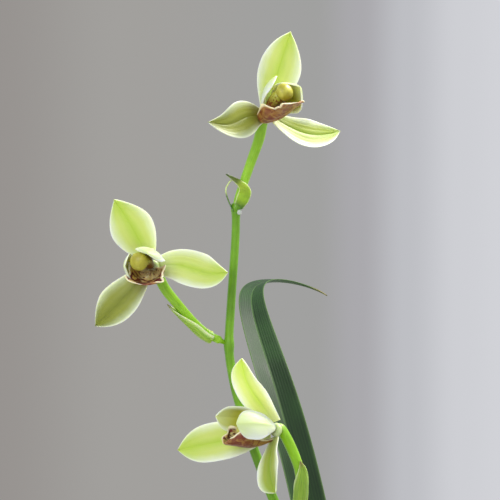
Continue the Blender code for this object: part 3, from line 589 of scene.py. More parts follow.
# ---------------------------------------------------------------- pseudobulbs and their sheaths
# Three swollen stems stand in a row, joined under the mix. Each is green and finely ribbed, with
# the rings of old leaf scars, inside a dry papery sheath that has split down one side and frayed.

BULB_RADIUS = 9 * MM
BULB_HEIGHT = 23 * MM
BULB_RIBS = 18
BULB_FOOT = MIX_TOP + 0.3 * MM
SHEATH_RADIUS = 10.3 * MM
SHEATH_RISE = 31 * MM
SHEATH_TURN = math.radians(158)
SHEATH_THICKNESS = 0.4 * MM
SHEATH_POINT = 0.62  # the share of its height where it starts to narrow
SHEATH_FRAY = 0.03
SCAR_HEIGHTS = (0.22, 0.45, 0.66, 0.83)  # of the old leaves' rings, as shares of a bulb's height
SCAR_DEPTH = 0.025  # as a share of the bulb's radius
SHEATH_CREASE = 0.12 * MM
FAN_HEADINGS = {"front": 295, "middle": 96, "rear": 310}  # of each fan's first leaf


def living(name, roughness, glow, reach, depth, **more):
    """A finish that light passes into: glow is the share of it that comes from inside, depth how
    far in metres, and reach that depth's shares for red, green and blue."""
    values = {"Roughness": roughness, "Subsurface Weight": glow}
    values |= {"Subsurface Radius": reach, "Subsurface Scale": depth}
    for socket, value in more.items():
        values[socket.replace("_", " ")] = value
    return Finish(name, values)


def tube_map(finish):
    """From a tube's UV map: 0 to 1 round it, and 0 to 1 along it."""
    split = finish.node("SeparateXYZ", {0: finish.node("TexCoord", {}, "UV")}).node
    return split.outputs["X"], split.outputs["Y"]


def blade_map(finish):
    """From a blade's UV map: -1 to 1 across it, 0 to 1 along it, and 1 on its underside."""
    place, along = tube_map(finish)
    fold = finish.maths("PINGPONG", finish.maths("MULTIPLY", place, 2.0), 1.0)
    across = finish.maths("MULTIPLY_ADD", fold, 2.0, -1.0)
    return across, along, finish.maths("GREATER_THAN", place, 0.5)


bulb_flesh = living("bulb_flesh", 0.42, 0.15, (1.0, 1.0, 0.4), 0.8 * MM)
bulb_rise = tube_map(bulb_flesh)[1]
bulb_cloud = bulb_flesh.noise(bulb_flesh.place, 120, 4)
bulb_lines = bulb_flesh.noise(bulb_flesh.scaled(bulb_flesh.place, 900, 900, 60), 1.0, 2)
bulb_colour = bulb_flesh.laid(
    tint("6f8a2e"),
    (bulb_flesh.between(bulb_cloud, 0.35, 0.7), "93a548"),
    (bulb_flesh.between(bulb_lines, 0.5, 0.75, 0.0, 0.5), "b3b56b"),
    (bulb_flesh.between(bulb_rise, 0.05, 0.4, 0.7, 0.0), "8a7a44"),
)
bulb_flesh.colour(bulb_colour)
bulb_flesh.raised(bulb_lines, 0.2 * MM)

papery = living("dry_sheath", 0.75, 0.2, (1.0, 0.7, 0.4), 0.8 * MM)
papery_along = tube_map(papery)[1]
papery_fibres = papery.noise(papery.scaled(papery.place, 1100, 1100, 45), 1.0, 3, 0.3)
papery_cloud = papery.noise(papery.place, 160, 4)
papery_colour = papery.laid(
    tint("8d7448"),
    (papery.between(papery_fibres, 0.35, 0.7), "c7b384"),
    (papery.between(papery_cloud, 0.5, 0.72, 0.0, 0.7), "6b5230"),
    (papery.between(papery_along, 0.75, 1.0, 0.0, 0.6), "d8c9a2"),
)
papery.colour(papery_colour)
papery.raised(papery_fibres, 0.35 * MM)


def blade_rings(line, face, half, turn, thickness, across, keel=0.0, relief=None):
    """Rings of a thin closed blade, such as a leaf, tepal or sheath, laid along a line.

    Across, from -1 to 1, it is an arc of half length half that turns through turn on each side of
    the midrib towards face, and keel folds it further into a V with a soft crease. relief(u, v)
    shifts it along its own normal. The wall thins to nothing at the edges in a round rim.
    Returns the rings and the UV map's places across them.
    """
    u = np.linspace(0, 1, len(line))[:, None]
    v = np.sin(np.linspace(-0.5, 0.5, across + 1) * math.pi)[None]
    tangent = unit(np.gradient(line, axis=0))
    face = np.broadcast_to(face, line.shape)
    face = unit(face - tangent * (tangent * face).sum(-1, keepdims=True))
    side = np.cross(tangent, face)
    half = np.broadcast_to(half, len(line))[:, None]
    turn = np.minimum(np.broadcast_to(turn, len(line))[:, None], half / thickness)
    fold = np.broadcast_to(keel, len(line))[:, None]
    sideways = half * np.sin(turn * v) / turn
    crease = np.sqrt(v * v + 0.006) - 0.077  # a V whose point is rounded off
    inward = half * (1 - np.cos(turn * v)) / turn + fold * half * crease
    middle = line[:, None] + side[:, None] * sideways[..., None] + face[:, None] * inward[..., None]
    for height in (relief(u, v) if relief else None, None):
        normal = unit(np.cross(np.gradient(middle, axis=1), np.gradient(middle, axis=0)))
        normal *= np.sign((normal * face[:, None]).sum(-1).mean())
        if height is not None:
            middle = middle + normal * height[..., None]
    ends = np.minimum(1, np.minimum(u, 1 - u) * len(line) / 3)
    wall = thickness / 2 * np.sqrt(1 - v**6) * np.sqrt(0.1 + 0.9 * ends)
    upper = middle + normal * wall[..., None]
    lower = middle - normal * wall[..., None]
    rings = np.concatenate([upper, lower[:, -2:0:-1]], axis=1)
    places = (v[0] + 1) / 4
    return rings, np.concatenate([places, 1 - places[-2::-1]])


def rolled(axis, radius, height, opening, thickness, turn, across=48, fray=0.0, seed=1):
    """Rings of a sheath rolled round the line axis, open towards opening, and pointed from the
    share height of its length. fray tears its edges by that much."""
    outward = -unit(np.array(opening, float))
    u = np.linspace(0, 1, len(axis))
    point = np.clip((u - height) / (1 - height), 0, 1)
    radius = np.broadcast_to(radius, len(axis))
    half = radius * turn * np.maximum(0.03, 1 - point**1.6)
    if fray:
        half = half * (1 + fray * uneven(axis, 3.5 * MM, seed))
    line = axis + outward * radius[:, None]

    def creases(u, v):
        return SHEATH_CREASE * np.sin(v * 19 + 5 * u) * np.sin(u * 7 + v * 3 + seed)

    return blade_rings(line, -outward, half, half / radius, thickness, across, relief=creases)


for growth, spot in GROWTH_SPOTS.items():
    spot = np.array(spot) * MM
    share = np.linspace(0.0, 0.985, 60)
    ovoid = BULB_RADIUS * np.sin(math.pi * (0.2 + 0.8 * share)) ** 0.8
    scar = sum(np.exp(-(((share - place) / 0.012) ** 2)) for place in SCAR_HEIGHTS)
    ovoid = ovoid * (1 - SCAR_DEPTH * scar)
    bulb_rings = lathe(np.stack([ovoid, BULB_FOOT + share * BULB_HEIGHT], -1), 120, spot)
    turn = np.linspace(0, 2 * math.pi, 120, endpoint=False)
    ribs = 1 - 0.018 * np.abs(np.sin(turn * BULB_RIBS / 2)) - 0.02 * uneven(bulb_rings, 14 * MM, 5)
    bulb_rings[..., :2] = spot + (bulb_rings[..., :2] - spot) * ribs[..., None]
    skin(f"{growth}_bulb", bulb_rings, bulb_flesh, [f"{growth}_pseudobulb"])
    fan = math.radians(FAN_HEADINGS[growth] + 90)
    axis = np.linspace((*spot, BULB_FOOT), (*spot, BULB_FOOT + SHEATH_RISE), 70)
    flare = SHEATH_RADIUS * (1 - 0.10 * np.sin(np.linspace(0, 1, 70) * math.pi) ** 2)
    opening = (math.cos(fan), math.sin(fan), 0)
    sheath, places = rolled(
        axis, flare, SHEATH_POINT, opening, SHEATH_THICKNESS, SHEATH_TURN, 96, SHEATH_FRAY, 7
    )
    skin(f"{growth}_papery_sheath", sheath, papery, [f"{growth}_bulb_sheath"], places)

# ---------------------------------------------------------------- leaves
# Each pseudobulb carries a fan of long strap leaves, folded along the midrib, arching over and
# drawn out to a point. They are leathery and dark, with fine parallel veins that catch the light,
# a paler midrib and underside, and a yellower foot.

LEAF_THICKNESS = 0.55 * MM
LEAF_HALF_WIDTH = 7.6 * MM
LEAF_BASE_SHARE = 0.46
LEAF_CURVE = 0.12  # bend of each half between midrib and edge, in radians
LEAF_OFFSETS = {"outer": 4.8 * MM, "inner": 1.7 * MM}
LEAF_FOOT_HEIGHT = MIX_TOP + BULB_HEIGHT + 1.05 * MM
LEAF_ROOT = 4 * MM  # how far a leaf reaches down into its sheath
LEAF_FLUTTER = 0.30 * MM  # how far its edges wave
LEAF_GROOVE = 0.12 * MM  # depth of the midrib's groove

# A leaf is (outer or inner foot, heading of its foot in degrees about +Z from +X, length in mm,
# rise and droop in degrees from level at foot and tip, how late it bends, swing of its heading in
# degrees by its tip, share of the full width).
LEAVES = {
    "front": (
        ("outer", 295, 215, 73, -32, 1.5, -12, 0.90),
        ("outer", 104, 205, 70, -34, 1.5, -60, 0.92),
        ("inner", 295, 180, 80, -4, 1.4, 45, 0.84),
        ("inner", 118, 262, 70, -30, 4.2, -152, 0.88),
    ),
    "middle": (
        ("outer", 96, 220, 70, -36, 1.4, 40, 0.95),
        ("outer", 260, 215, 70, -36, 1.4, -12, 0.95),
        ("inner", 96, 180, 80, -14, 1.2, 90, 0.84),
        ("inner", 276, 125, 84, 22, 1.3, -40, 0.74),
    ),
    "rear": (
        ("outer", 310, 205, 70, -38, 1.4, -60, 0.92),
        ("outer", 130, 225, 70, -34, 1.4, 50, 0.95),
        ("inner", 130, 150, 80, 2, 1.2, 70, 0.78),
    ),
}


def streaks(finish, across, along, lanes, scale, detail=2):
    """Noise drawn out along a blade or a tube, and finer across it by lanes."""
    lane = finish.maths("MULTIPLY", across, lanes)
    return finish.noise(finish.node("CombineXYZ", {0: lane, 1: along}), scale, detail)


leaf_skin = living(
    "leaf_skin",
    0.52,
    0.06,
    (0.5, 1.0, 0.2),
    0.6 * MM,
    Specular_IOR_Level=0.22,
    Coat_Weight=0.02,
    Coat_Roughness=0.4,
)
leaf_across, leaf_along, leaf_under = blade_map(leaf_skin)
leaf_veins = leaf_skin.maths("SINE", leaf_skin.maths("MULTIPLY", leaf_across, 46.0))
leaf_cloud = leaf_skin.noise(leaf_skin.place, 60, 4)
leaf_streaks = streaks(leaf_skin, leaf_across, leaf_along, 9.0, 3.0, 3)
leaf_edge = leaf_skin.maths("ABSOLUTE", leaf_across)
leaf_colour = leaf_skin.laid(
    tint("132a10"),
    (leaf_skin.between(leaf_cloud, 0.35, 0.7), "1e3d17"),
    (leaf_skin.between(leaf_streaks, 0.45, 0.8, 0.0, 0.35), "315220"),
    (leaf_skin.between(leaf_veins, 0.2, 1.0, 0.0, 0.20), "2c4c20"),
    (leaf_skin.between(leaf_edge, 0.0, 0.10, 0.55, 0.0), "4a6a30"),
    # Pale strip along each edge: a painted reflection of bright light on the leaf's rim.
    (leaf_skin.between(leaf_edge, 0.90, 0.99, 0.0, 0.4), "6d8c4c"),
    (leaf_skin.between(leaf_along, 0.0, 0.16, 0.75, 0.0), "8fa54e"),
    (leaf_skin.between(leaf_along, 0.965, 0.995, 0.0, 0.8), "8c7a3e"),
    (leaf_skin.maths("MULTIPLY", leaf_under, 0.45), "4c6c40"),
)
leaf_skin.colour(leaf_colour)
leaf_skin.roughness(leaf_skin.between(leaf_cloud, 0.3, 0.7, 0.48, 0.60))
leaf_height = leaf_skin.maths("MULTIPLY", leaf_veins, 0.3)
leaf_skin.raised(leaf_skin.maths("MULTIPLY_ADD", leaf_cloud, 0.6, leaf_height), 0.05 * MM)


def level_steps(slope, compass):
    """Unit steps that climb at slope and head towards compass, both in radians."""
    return np.stack([np.cos(slope) * np.cos(compass), np.cos(slope) * np.sin(compass), np.sin(slope)], -1)


def leaf_rings(spot, leaf, seed, steps=150):
    """A leaf's midrib climbs at rise and bends to droop while its heading swings sideways. At its
    foot it faces the middle of its fan, and further out it faces the sky."""
    foot, heading, length, rise, droop, lateness, swing, share = leaf
    outward = level_steps(0, math.radians(heading))
    start = np.array([*spot, LEAF_FOOT_HEIGHT]) + outward * LEAF_OFFSETS[foot]
    u = (np.arange(steps) + 0.5) / steps
    slope = np.radians(rise + (droop - rise) * u**lateness)
    compass = np.radians(heading + swing * u ** (2 * lateness))
    walk = np.cumsum(level_steps(slope, compass) * (length * MM / steps), axis=0)
    root = start - np.array([[0, 0, 1]]) * np.linspace(LEAF_ROOT, 0, 7)[:, None]
    line = np.concatenate([root, start + walk])
    u = np.concatenate([np.zeros(len(root)), (np.arange(steps) + 1) / steps])
    ahead = unit(np.gradient(line, axis=0))
    compass = np.concatenate([np.full(len(root), math.radians(heading)), compass])
    level = np.stack([-np.sin(compass), np.cos(compass), 0 * u], -1)
    blend = np.clip(u / 0.3, 0, 1)[:, None]
    face = -outward * (1 - blend) + unit(np.cross(ahead, level)) * blend
    widest = LEAF_HALF_WIDTH * share
    narrow = LEAF_BASE_SHARE * LEAF_HALF_WIDTH
    half = narrow + (widest - narrow) * np.sin(np.minimum(1, u / 0.42) * math.pi / 2) ** 1.4
    half = half * np.maximum(0.02, 1 - np.clip((u - 0.5) / 0.5, 0, 1) ** 2.4)
    keel = 0.26 + 0.2 * np.sin(math.pi * np.minimum(1, u * 1.4))

    def waves(u, v):
        flutter = LEAF_FLUTTER * v**2 * np.sin(u * 23 + 2.1 * np.sign(v) + seed) * np.sin(math.pi * u)
        return flutter - LEAF_GROOVE * np.exp(-((v / 0.05) ** 2))

    return blade_rings(line, face, half, LEAF_CURVE, LEAF_THICKNESS, 36, keel, waves)


for growth, fan in LEAVES.items():
    spot = np.array(GROWTH_SPOTS[growth]) * MM
    for index, leaf in enumerate(fan):
        name = f"{growth}_leaf_{index + 1}"
        rings, places = leaf_rings(spot, leaf, index * 1.7 + len(growth))
        skin(f"{growth}_strap_leaf_{index + 1}", rings, leaf_skin, [name], places)

# ---------------------------------------------------------------- flower stem
# One wiry green stem rises from the foot of the front bulb, leans across to the left and stands up
# again, with a small bend at each flower. Its lower half wears three thin pale sheaths.

STEM_FOOT_RADIUS = 1.75 * MM
STEM_TOP_RADIUS = 1.2 * MM
STEM_ROUTE = np.array(
    (
        (10.6, -1.6, 0.6),
        (10.4, -1.4, 25),
        (9.2, -0.8, 55),
        (6.0, -0.2, 85),
        (0.6, 0.0, 114),
        (-6.0, 0.0, 140),
        (-11.4, 0.0, 153.2),
        (-17.1, 0.0, 167.9),
        (-21.4, 0.0, 181.7),
        (-23.4, 0.0, 190.4),
        (-24.3, 0.0, 198.5),
        (-23.6, 0.0, 212),
        (-22.4, 0.0, 230),
        (-22.2, 0.0, 239.4),
    )
)  # mm; heights above the mix
STEM_SHEATHS = {"lower": (3, 33, 250), "middle": (40, 74, 70), "upper": (84, 114, 230)}
FLOWER_NODES = {"top_flower": 239.4, "left_flower": 198.5, "lower_flower": 139.6}
NODE_SWELLING = 0.28 * MM
SHEATH_HUG = 0.7 * MM  # from the stem's surface to the middle of a sheath
STEM_SHEATH_THICKNESS = 0.3 * MM
STEM_SHEATH_TURN = math.radians(152)

stem_flesh = living(
    "stem_flesh",
    0.36,
    0.25,
    (0.7, 1.0, 0.25),
    1.1 * MM,
    Specular_IOR_Level=0.35,
    Coat_Weight=0.08,
    Coat_Roughness=0.25,
)
stem_lines = streaks(stem_flesh, *tube_map(stem_flesh), 22.0, 2.2)
stem_cloud = stem_flesh.noise(stem_flesh.place, 130, 3)
stem_colour = stem_flesh.laid(
    tint("5c8a12"),
    (stem_flesh.between(stem_cloud, 0.3, 0.7), "70a01c"),
    (stem_flesh.between(stem_lines, 0.5, 0.8, 0.0, 0.4), "8cb53c"),
)
stem_flesh.colour(stem_colour)
stem_flesh.raised(stem_lines, 0.10 * MM)

thin_sheath = living("stem_sheath", 0.55, 0.4, (1.0, 1.0, 0.5), 0.8 * MM)
sheath_across, sheath_along, _ = blade_map(thin_sheath)
sheath_veins = streaks(thin_sheath, sheath_across, sheath_along, 12.0, 2.0)
sheath_colour = thin_sheath.laid(
    tint("8fa45a"),
    (thin_sheath.between(sheath_along, 0.2, 0.9), "cfc99a"),
    (thin_sheath.between(sheath_veins, 0.5, 0.75, 0.0, 0.6), "7b8b45"),
    (thin_sheath.between(sheath_along, 0.88, 1.0, 0.0, 0.7), "a3805a"),
)
thin_sheath.colour(sheath_colour)
thin_sheath.raised(sheath_veins, 0.15 * MM)


def smooth_line(points, per_span):
    """Points read from the Catmull-Rom curve through points, per_span to each span."""
    points = np.array(points, float)
    points = np.concatenate([[2 * points[0] - points[1]], points, [2 * points[-1] - points[-2]]])
    t = (np.arange(per_span) / per_span)[None, :, None]
    before, start, end, after = (points[i : len(points) - 3 + i, None] for i in range(4))
    curve = 2 * start + t * (end - before) + t**2 * (2 * before - 5 * start + 4 * end - after)
    curve = 0.5 * (curve + t**3 * (3 * start - before - 3 * end + after))
    return np.concatenate([curve.reshape(-1, 3), points[-2:-1]])


def at_share(line, share):
    """Points at shares of a line's steps, from 0 to 1."""
    place = np.clip(share, 0, 1) * (len(line) - 1)
    return np.stack([np.interp(place, np.arange(len(line)), line[:, axis]) for axis in range(3)], -1)


def tube_rings(line, radius, around=40, ribs=0, depth=0.0, twist=0.0):
    """Rings of a round stalk along a line, with ribs ridges of a depth that twist round it."""
    ahead = unit(np.gradient(line, axis=0))
    first = np.cross(ahead, (0, 1, 0.3))
    side = unit(first)
    other = np.cross(ahead, side)
    turn = np.linspace(0, 2 * math.pi, around, endpoint=False)[None]
    share = np.linspace(0, 1, len(line))[:, None]
    reach = np.broadcast_to(radius, len(line))[:, None] * (1 + depth * np.cos(ribs * turn + twist * share))
    ends = np.minimum(1, np.minimum(share, 1 - share) * len(line) / 3)
    reach = (reach * np.sqrt(0.15 + 0.85 * ends))[..., None]
    spokes = side[:, None] * np.cos(turn)[..., None] + other[:, None] * np.sin(turn)[..., None]
    return line[:, None] + reach * spokes


stem_line = smooth_line(STEM_ROUTE * MM + (0, 0, MIX_TOP), 20)
stem_shares = np.linspace(0, 1, len(stem_line))


def stem_share(height):
    """The share of the stem's line at a height in mm above the mix."""
    return np.interp(MIX_TOP + height * MM, stem_line[:, 2], stem_shares)


def stem_radius(share):
    """The stem tapers steadily from its foot to its last node."""
    return STEM_FOOT_RADIUS + (STEM_TOP_RADIUS - STEM_FOOT_RADIUS) * share


swollen = stem_radius(stem_shares)
for height in (*FLOWER_NODES.values(), *(low for low, _, _ in STEM_SHEATHS.values())):
    swollen += NODE_SWELLING * np.exp(-(((stem_line[:, 2] - MIX_TOP - height * MM) / (1.8 * MM)) ** 2))
stem_rings = tube_rings(stem_line, swollen, 44, 9, 0.015)
skin("flowering_stem", stem_rings, stem_flesh, ["flower_stem"])

for name, (low, high, heading) in STEM_SHEATHS.items():
    axis = at_share(stem_line, np.linspace(stem_share(low), stem_share(high), 60))
    hug = (stem_radius(stem_share(low)) + SHEATH_HUG) * (1 + 0.25 * np.linspace(0, 1, 60))
    opening = (math.cos(math.radians(heading)), math.sin(math.radians(heading)), 0)
    rings, places = rolled(
        axis, hug, 0.5, opening, STEM_SHEATH_THICKNESS, STEM_SHEATH_TURN, seed=len(name)
    )
    skin(f"thin_sheath_{name}", rings, thin_sheath, [f"stem_sheath_{name}"], places)

# ---------------------------------------------------------------- flower stalks and bracts
# Each flower hangs on its own stalk, which leaves the stem inside a small pointed bract, thickens
# into a faintly ribbed ovary and ends in a knob that the flower's parts grow from. The top bract is
# a hood with a dark spike, and a thin pale strip springs from the stem's end up to that spike.

STALK_FOOT_RADIUS = 1.2 * MM
STALK_END_RADIUS = 1.6 * MM
STALK_ROOT = 1.4 * MM  # how far the stalk starts inside the stem
BRACT_HUG = 0.7 * MM
BRACT_THICKNESS = 0.32 * MM
BRACT_TURN = math.radians(118)
HOOD_THICKNESS = 0.4 * MM
STRIP_THICKNESS = 0.35 * MM
SEPAL_CLEARANCE = 0.35 * MM
STALK_NECK = 1.4 * MM  # the straight end behind the flower
KNOB_RADIUS = 2.1 * MM
KNOB_DEPTH = 1.4 * MM

# Places are offsets in mm. "route" and "centre" start where the stalk leaves the stem, and every
# tip starts at the flower's middle. "facing" is where the flower looks. "bract" is (first and last
# share of the stalk that it covers, side where it opens, flare). A sepal is (tip, half width, widest
# share, sharpness, bow, curl, sideways sweep and sway, twist in degrees, half width of its foot); a
# petal is (tip, way to the column, half width, sharpness, cup, curl); the lip is (foot, tip, upper
# side, share of the lobes, half width of its foot).
FLOWERS = {
    "top_flower": {
        "route": ((1.1, -0.2, 4.2), (4.0, -0.8, 12.6), (6.7, -1.6, 20.2)),
        "centre": (8.8, -4.2, 27.0),
        "facing": (0.47, -0.60, 0.65),
        "sepals": {
            "dorsal": ((7.6, 6.2, 26.3), 6.9, 0.53, 1.75, 0.05, 0.03, -0.02, 0.0, 0, 2.0),
            "right": ((22.6, 8.3, -3.5), 5.1, 0.52, 1.9, 0.03, 0.05, 0.17, 0.0, 12, 2.0),
            "left": ((-16.9, -14.5, -2.1), 5.5, 0.46, 1.8, 0.06, -0.02, -0.055, 0.045, -24, 2.3),
        },
        "petals": {
            "right": ((10.3, -6.5, 8.7), (-0.50, -0.72, -0.48), 6.2, 3.6, 0.85, 0.12),
            "left": ((3.4, -3.2, 12.2), (0.97, 0.0, -0.25), 4.2, 2.6, 0.45, 0.12),
        },
        "lip": ((-0.6, -2.6, -1.6), (9.4, -9.8, 3.8), (-0.50, 0.16, 0.85), 0.40, 4.4),
    },
    "left_flower": {
        "route": ((-6.9, -1.6, 3.6), (-11.2, -3.0, 7.6), (-15.5, -4.4, 12.6), (-19.1, -5.8, 17.2)),
        "centre": (-22.5, -9.2, 23.5),
        "facing": (-0.30, -0.94, 0.18),
        "bract": (0.08, 0.56, (0.6, -0.2, 0.8), 0.20),
        "sepals": {
            "dorsal": ((-11.2, -2.9, 19.9), 6.7, 0.53, 1.85, 0.05, 0.02, 0.035, 0.0, 0, 2.0),
            "right": ((22.3, -3.0, -1.6), 5.5, 0.52, 2.6, 0.04, 0.03, 0.0, -0.04, 0, 3.0),
            "left": ((-17.2, 3.2, -17.6), 6.0, 0.58, 1.9, 0.05, 0.02, -0.035, 0.0, 0, 2.4),
        },
        "petals": {
            "right": ((-1.2, -13.6, 4.0), (-0.45, -0.05, -0.89), 4.9, 3.8, 0.55, 0.16),
            "left": ((-7.6, -12.5, 0.3), (0.98, 0.0, 0.08), 4.0, 3.0, 0.50, 0.10),
        },
        "lip": ((-0.3, -1.8, -1.3), (-2.3, -11.5, -5.0), (0.0, -0.35, 0.94), 0.50, 3.0),
    },
    "lower_flower": {
        "route": ((2.6, -5.4, 11.6), (2.9, -7.6, 17.6), (2.2, -9.2, 23.2), (-0.2, -10.4, 29.5)),
        "centre": (-4.3, -12.6, 34.5),
        "facing": (-0.81, -0.57, 0.06),
        "bract": (0.06, 0.56, (-0.5, 0.85, 0.1), 0.12),
        "sepals": {
            "dorsal": ((-10.2, -2.7, 21.2), 5.6, 0.52, 2.8, 0.04, 0.04, -0.08, 0.025, 10, 3.2),
            "right": ((-0.4, -9.9, -17.5), 5.4, 0.66, 2.2, 0.04, -0.03, 0.10, 0.0, 0, 1.8),
            "left": ((-29.5, 11.4, -7.0), 5.95, 0.58, 2.6, 0.02, 0.02, 0.0, 0.0, -6, 2.2),
        },
        "petals": {
            "right": ((-11.8, -9.3, 2.5), (0.10, 0.90, -0.35), 4.7, 3.6, 0.45, 0.06),
            "left": ((-18.0, 1.0, 3.9), (0.10, -0.90, -0.40), 4.5, 3.8, 0.35, 0.04),
        },
        "lip": ((-0.8, -0.2, -2.8), (-15.3, -5.6, -3.6), (-0.05, -0.02, 0.99), 0.78, 0.8),
    },
}
TOP_BRACT = {
    "points": (
        (0.7, -0.9, 0.2),
        (2.0, -1.7, 2.6),
        (2.7, -2.2, 4.9),
        (1.9, -2.9, 6.9),
        (-0.2, -3.2, 8.6),
        (-3.0, -3.2, 10.2),
    ),
    "widths": (1.5, 2.1, 2.1, 1.4, 0.8, 0.2),
    "inside": (1.9, 1.6, 4.6),
}
STEM_CUP = {
    "points": ((0, 0, -1.7), (0, 0, -0.8), (0.05, 0.0, 0.2), (0.3, 0.1, 1.6)),
    "radii": (1.2, 1.45, 1.6, 1.5),
}
TIP_SCALE = {
    "points": (
        (-0.8, -0.6, -0.9),
        (-2.4, -0.8, 2.6),
        (-3.1, -1.2, 5.4),
        (-2.3, -1.9, 7.5),
        (-0.9, -2.7, 8.9),
    ),
    "widths": (0.9, 0.8, 0.8, 0.6, 0.3),
    "inside": (1.0, -0.6, 4.6),
}

stalk_flesh = living(
    "stalk_flesh",
    0.34,
    0.35,
    (0.7, 1.0, 0.25),
    1.2 * MM,
    Specular_IOR_Level=0.35,
    Coat_Weight=0.12,
    Coat_Roughness=0.22,
)
stalk_round, stalk_along = tube_map(stalk_flesh)
stalk_cloud = stalk_flesh.noise(stalk_flesh.place, 220, 3)
stalk_lines = streaks(stalk_flesh, stalk_round, stalk_along, 16.0, 1.6)
stalk_colour = stalk_flesh.laid(
    tint("84b416"),
    (stalk_flesh.between(stalk_cloud, 0.3, 0.7), "96c628"),
    (stalk_flesh.between(stalk_lines, 0.5, 0.8, 0.0, 0.35), "b4dc66"),
    (stalk_flesh.between(stalk_along, 0.80, 0.98, 0.0, 0.6), "b7cf86"),
)
stalk_flesh.colour(stalk_colour)
stalk_flesh.raised(stalk_lines, 0.08 * MM)

heel_flesh = living("heel_flesh", 0.42, 0.45, (1.0, 1.0, 0.5), 1.0 * MM)
heel_cloud = heel_flesh.noise(heel_flesh.place, 480, 3)
heel_flesh.colour(heel_flesh.mix(heel_flesh.between(heel_cloud, 0.35, 0.68), tint("b3c77c"), tint("cfdba6")))
heel_flesh.raised(heel_cloud, 0.10 * MM)

bract_leaf = living("bract_leaf", 0.42, 0.45, (0.8, 1.0, 0.3), 0.9 * MM)
bract_across, bract_along, _ = blade_map(bract_leaf)
bract_edge = bract_leaf.maths("ABSOLUTE", bract_across)
bract_veins = streaks(bract_leaf, bract_across, bract_along, 8.0, 2.0)
bract_colour = bract_leaf.laid(
    tint("7ea526"),
    (bract_leaf.between(bract_veins, 0.35, 0.7), "a3bf45"),
    (bract_leaf.between(bract_edge, 0.70, 0.98, 0.0, 0.85), "dde6b4"),
    (bract_leaf.between(bract_along, 0.86, 1.0, 0.0, 0.75), "9a7e52"),
)
bract_leaf.colour(bract_colour)
bract_leaf.raised(bract_veins, 0.12 * MM)

spiked = living("dark_spike", 0.45, 0.3, (0.8, 1.0, 0.3), 0.8 * MM)
spiked_across, spiked_along, _ = blade_map(spiked)
spiked_edge = spiked.maths("ABSOLUTE", spiked_across)
spiked_colour = spiked.ramp(
    spiked_along,
    (0.0, tint("35620f")),
    (0.22, tint("92b41c")),
    (0.60, tint("9db428")),
    (0.78, tint("5c6a1c")),
    (1.0, tint("3c4a1e")),
)
spiked_grain = spiked.noise(spiked.place, 650, 3)
spiked_colour = spiked.laid(
    spiked_colour,
    (spiked.between(spiked_grain, 0.35, 0.7, 0.0, 0.25), "6d8a1e"),
    (spiked.between(spiked_edge, 0.72, 0.98, 0.0, 0.7), "d7e0a8"),
)
spiked.colour(spiked_colour)
spiked.raised(spiked_grain, 0.12 * MM)

tip_strip = living("tip_strip", 0.5, 0.5, (1.0, 1.0, 0.5), 0.8 * MM)
strip_along = tube_map(tip_strip)[1]
strip_grain = tip_strip.noise(tip_strip.place, 800, 3)
strip_colour = tip_strip.ramp(
    strip_along,
    (0.0, tint("2f6a14")),
    (0.34, tint("3f6422")),
    (0.48, tint("c3cf94")),
    (0.85, tint("c6cf8c")),
    (1.0, tint("7c8a34")),
)
strip_mottle = tip_strip.between(strip_grain, 0.35, 0.7, 0.0, 0.3)
tip_strip.colour(tip_strip.laid(strip_colour, (strip_mottle, "9aa85a")))
tip_strip.raised(strip_grain, 0.10 * MM)


def square_to(vector, axis):
    """The unit part of vector at right angles to a unit axis."""
    vector = np.array(vector, float)
    return unit(vector - axis * (axis @ vector))


def facing_of(name):
    """A unit vector the way the flower looks."""
    return unit(np.array(FLOWERS[name]["facing"]))


def node_of(name):
    """Where the flower's stalk leaves the stem's middle line, and the share of the stem there."""
    share = stem_share(FLOWER_NODES[name])
    return at_share(stem_line, share), share


def middle_of(name):
    """The middle of the flower, where its stalk ends and its parts meet."""
    return node_of(name)[0] + np.array(FLOWERS[name]["centre"]) * MM


def stalk_line(name):
    """The middle line of a flower's stalk, from just clear of the stem to behind the flower."""
    node, share = node_of(name)
    facing = facing_of(name)
    route = node + np.array(FLOWERS[name]["route"]) * MM
    leaving = unit(route[0] - node)
    start = node + leaving * 0.6 * MM
    if share < 0.999:
        stem_way = unit(at_share(stem_line, share + 0.01) - at_share(stem_line, share - 0.01))
        cosine = leaving @ stem_way
        clear = stem_radius(share) + 0.6 * MM + STALK_FOOT_RADIUS * abs(cosine)
        start = node + leaving * clear / math.sqrt(1 - cosine**2)
    end = middle_of(name) - facing * SEPAL_CLEARANCE
    return smooth_line([start, *route, end - facing * STALK_NECK, end], 16)


def scale_rings(shape, origin, bend, thickness):
    """Rings of a narrow pointed scale along points, whose inner face looks towards a point."""
    line = smooth_line(np.array(shape["points"]) * MM + origin, 24)
    inside = np.array(shape["inside"]) * MM + origin
    widths = np.array(shape["widths"]) * MM
    half = np.interp(np.linspace(0, len(widths) - 1, len(line)), np.arange(len(widths)), widths)
    return blade_rings(line, unit(inside - line), half, bend, thickness, 24)


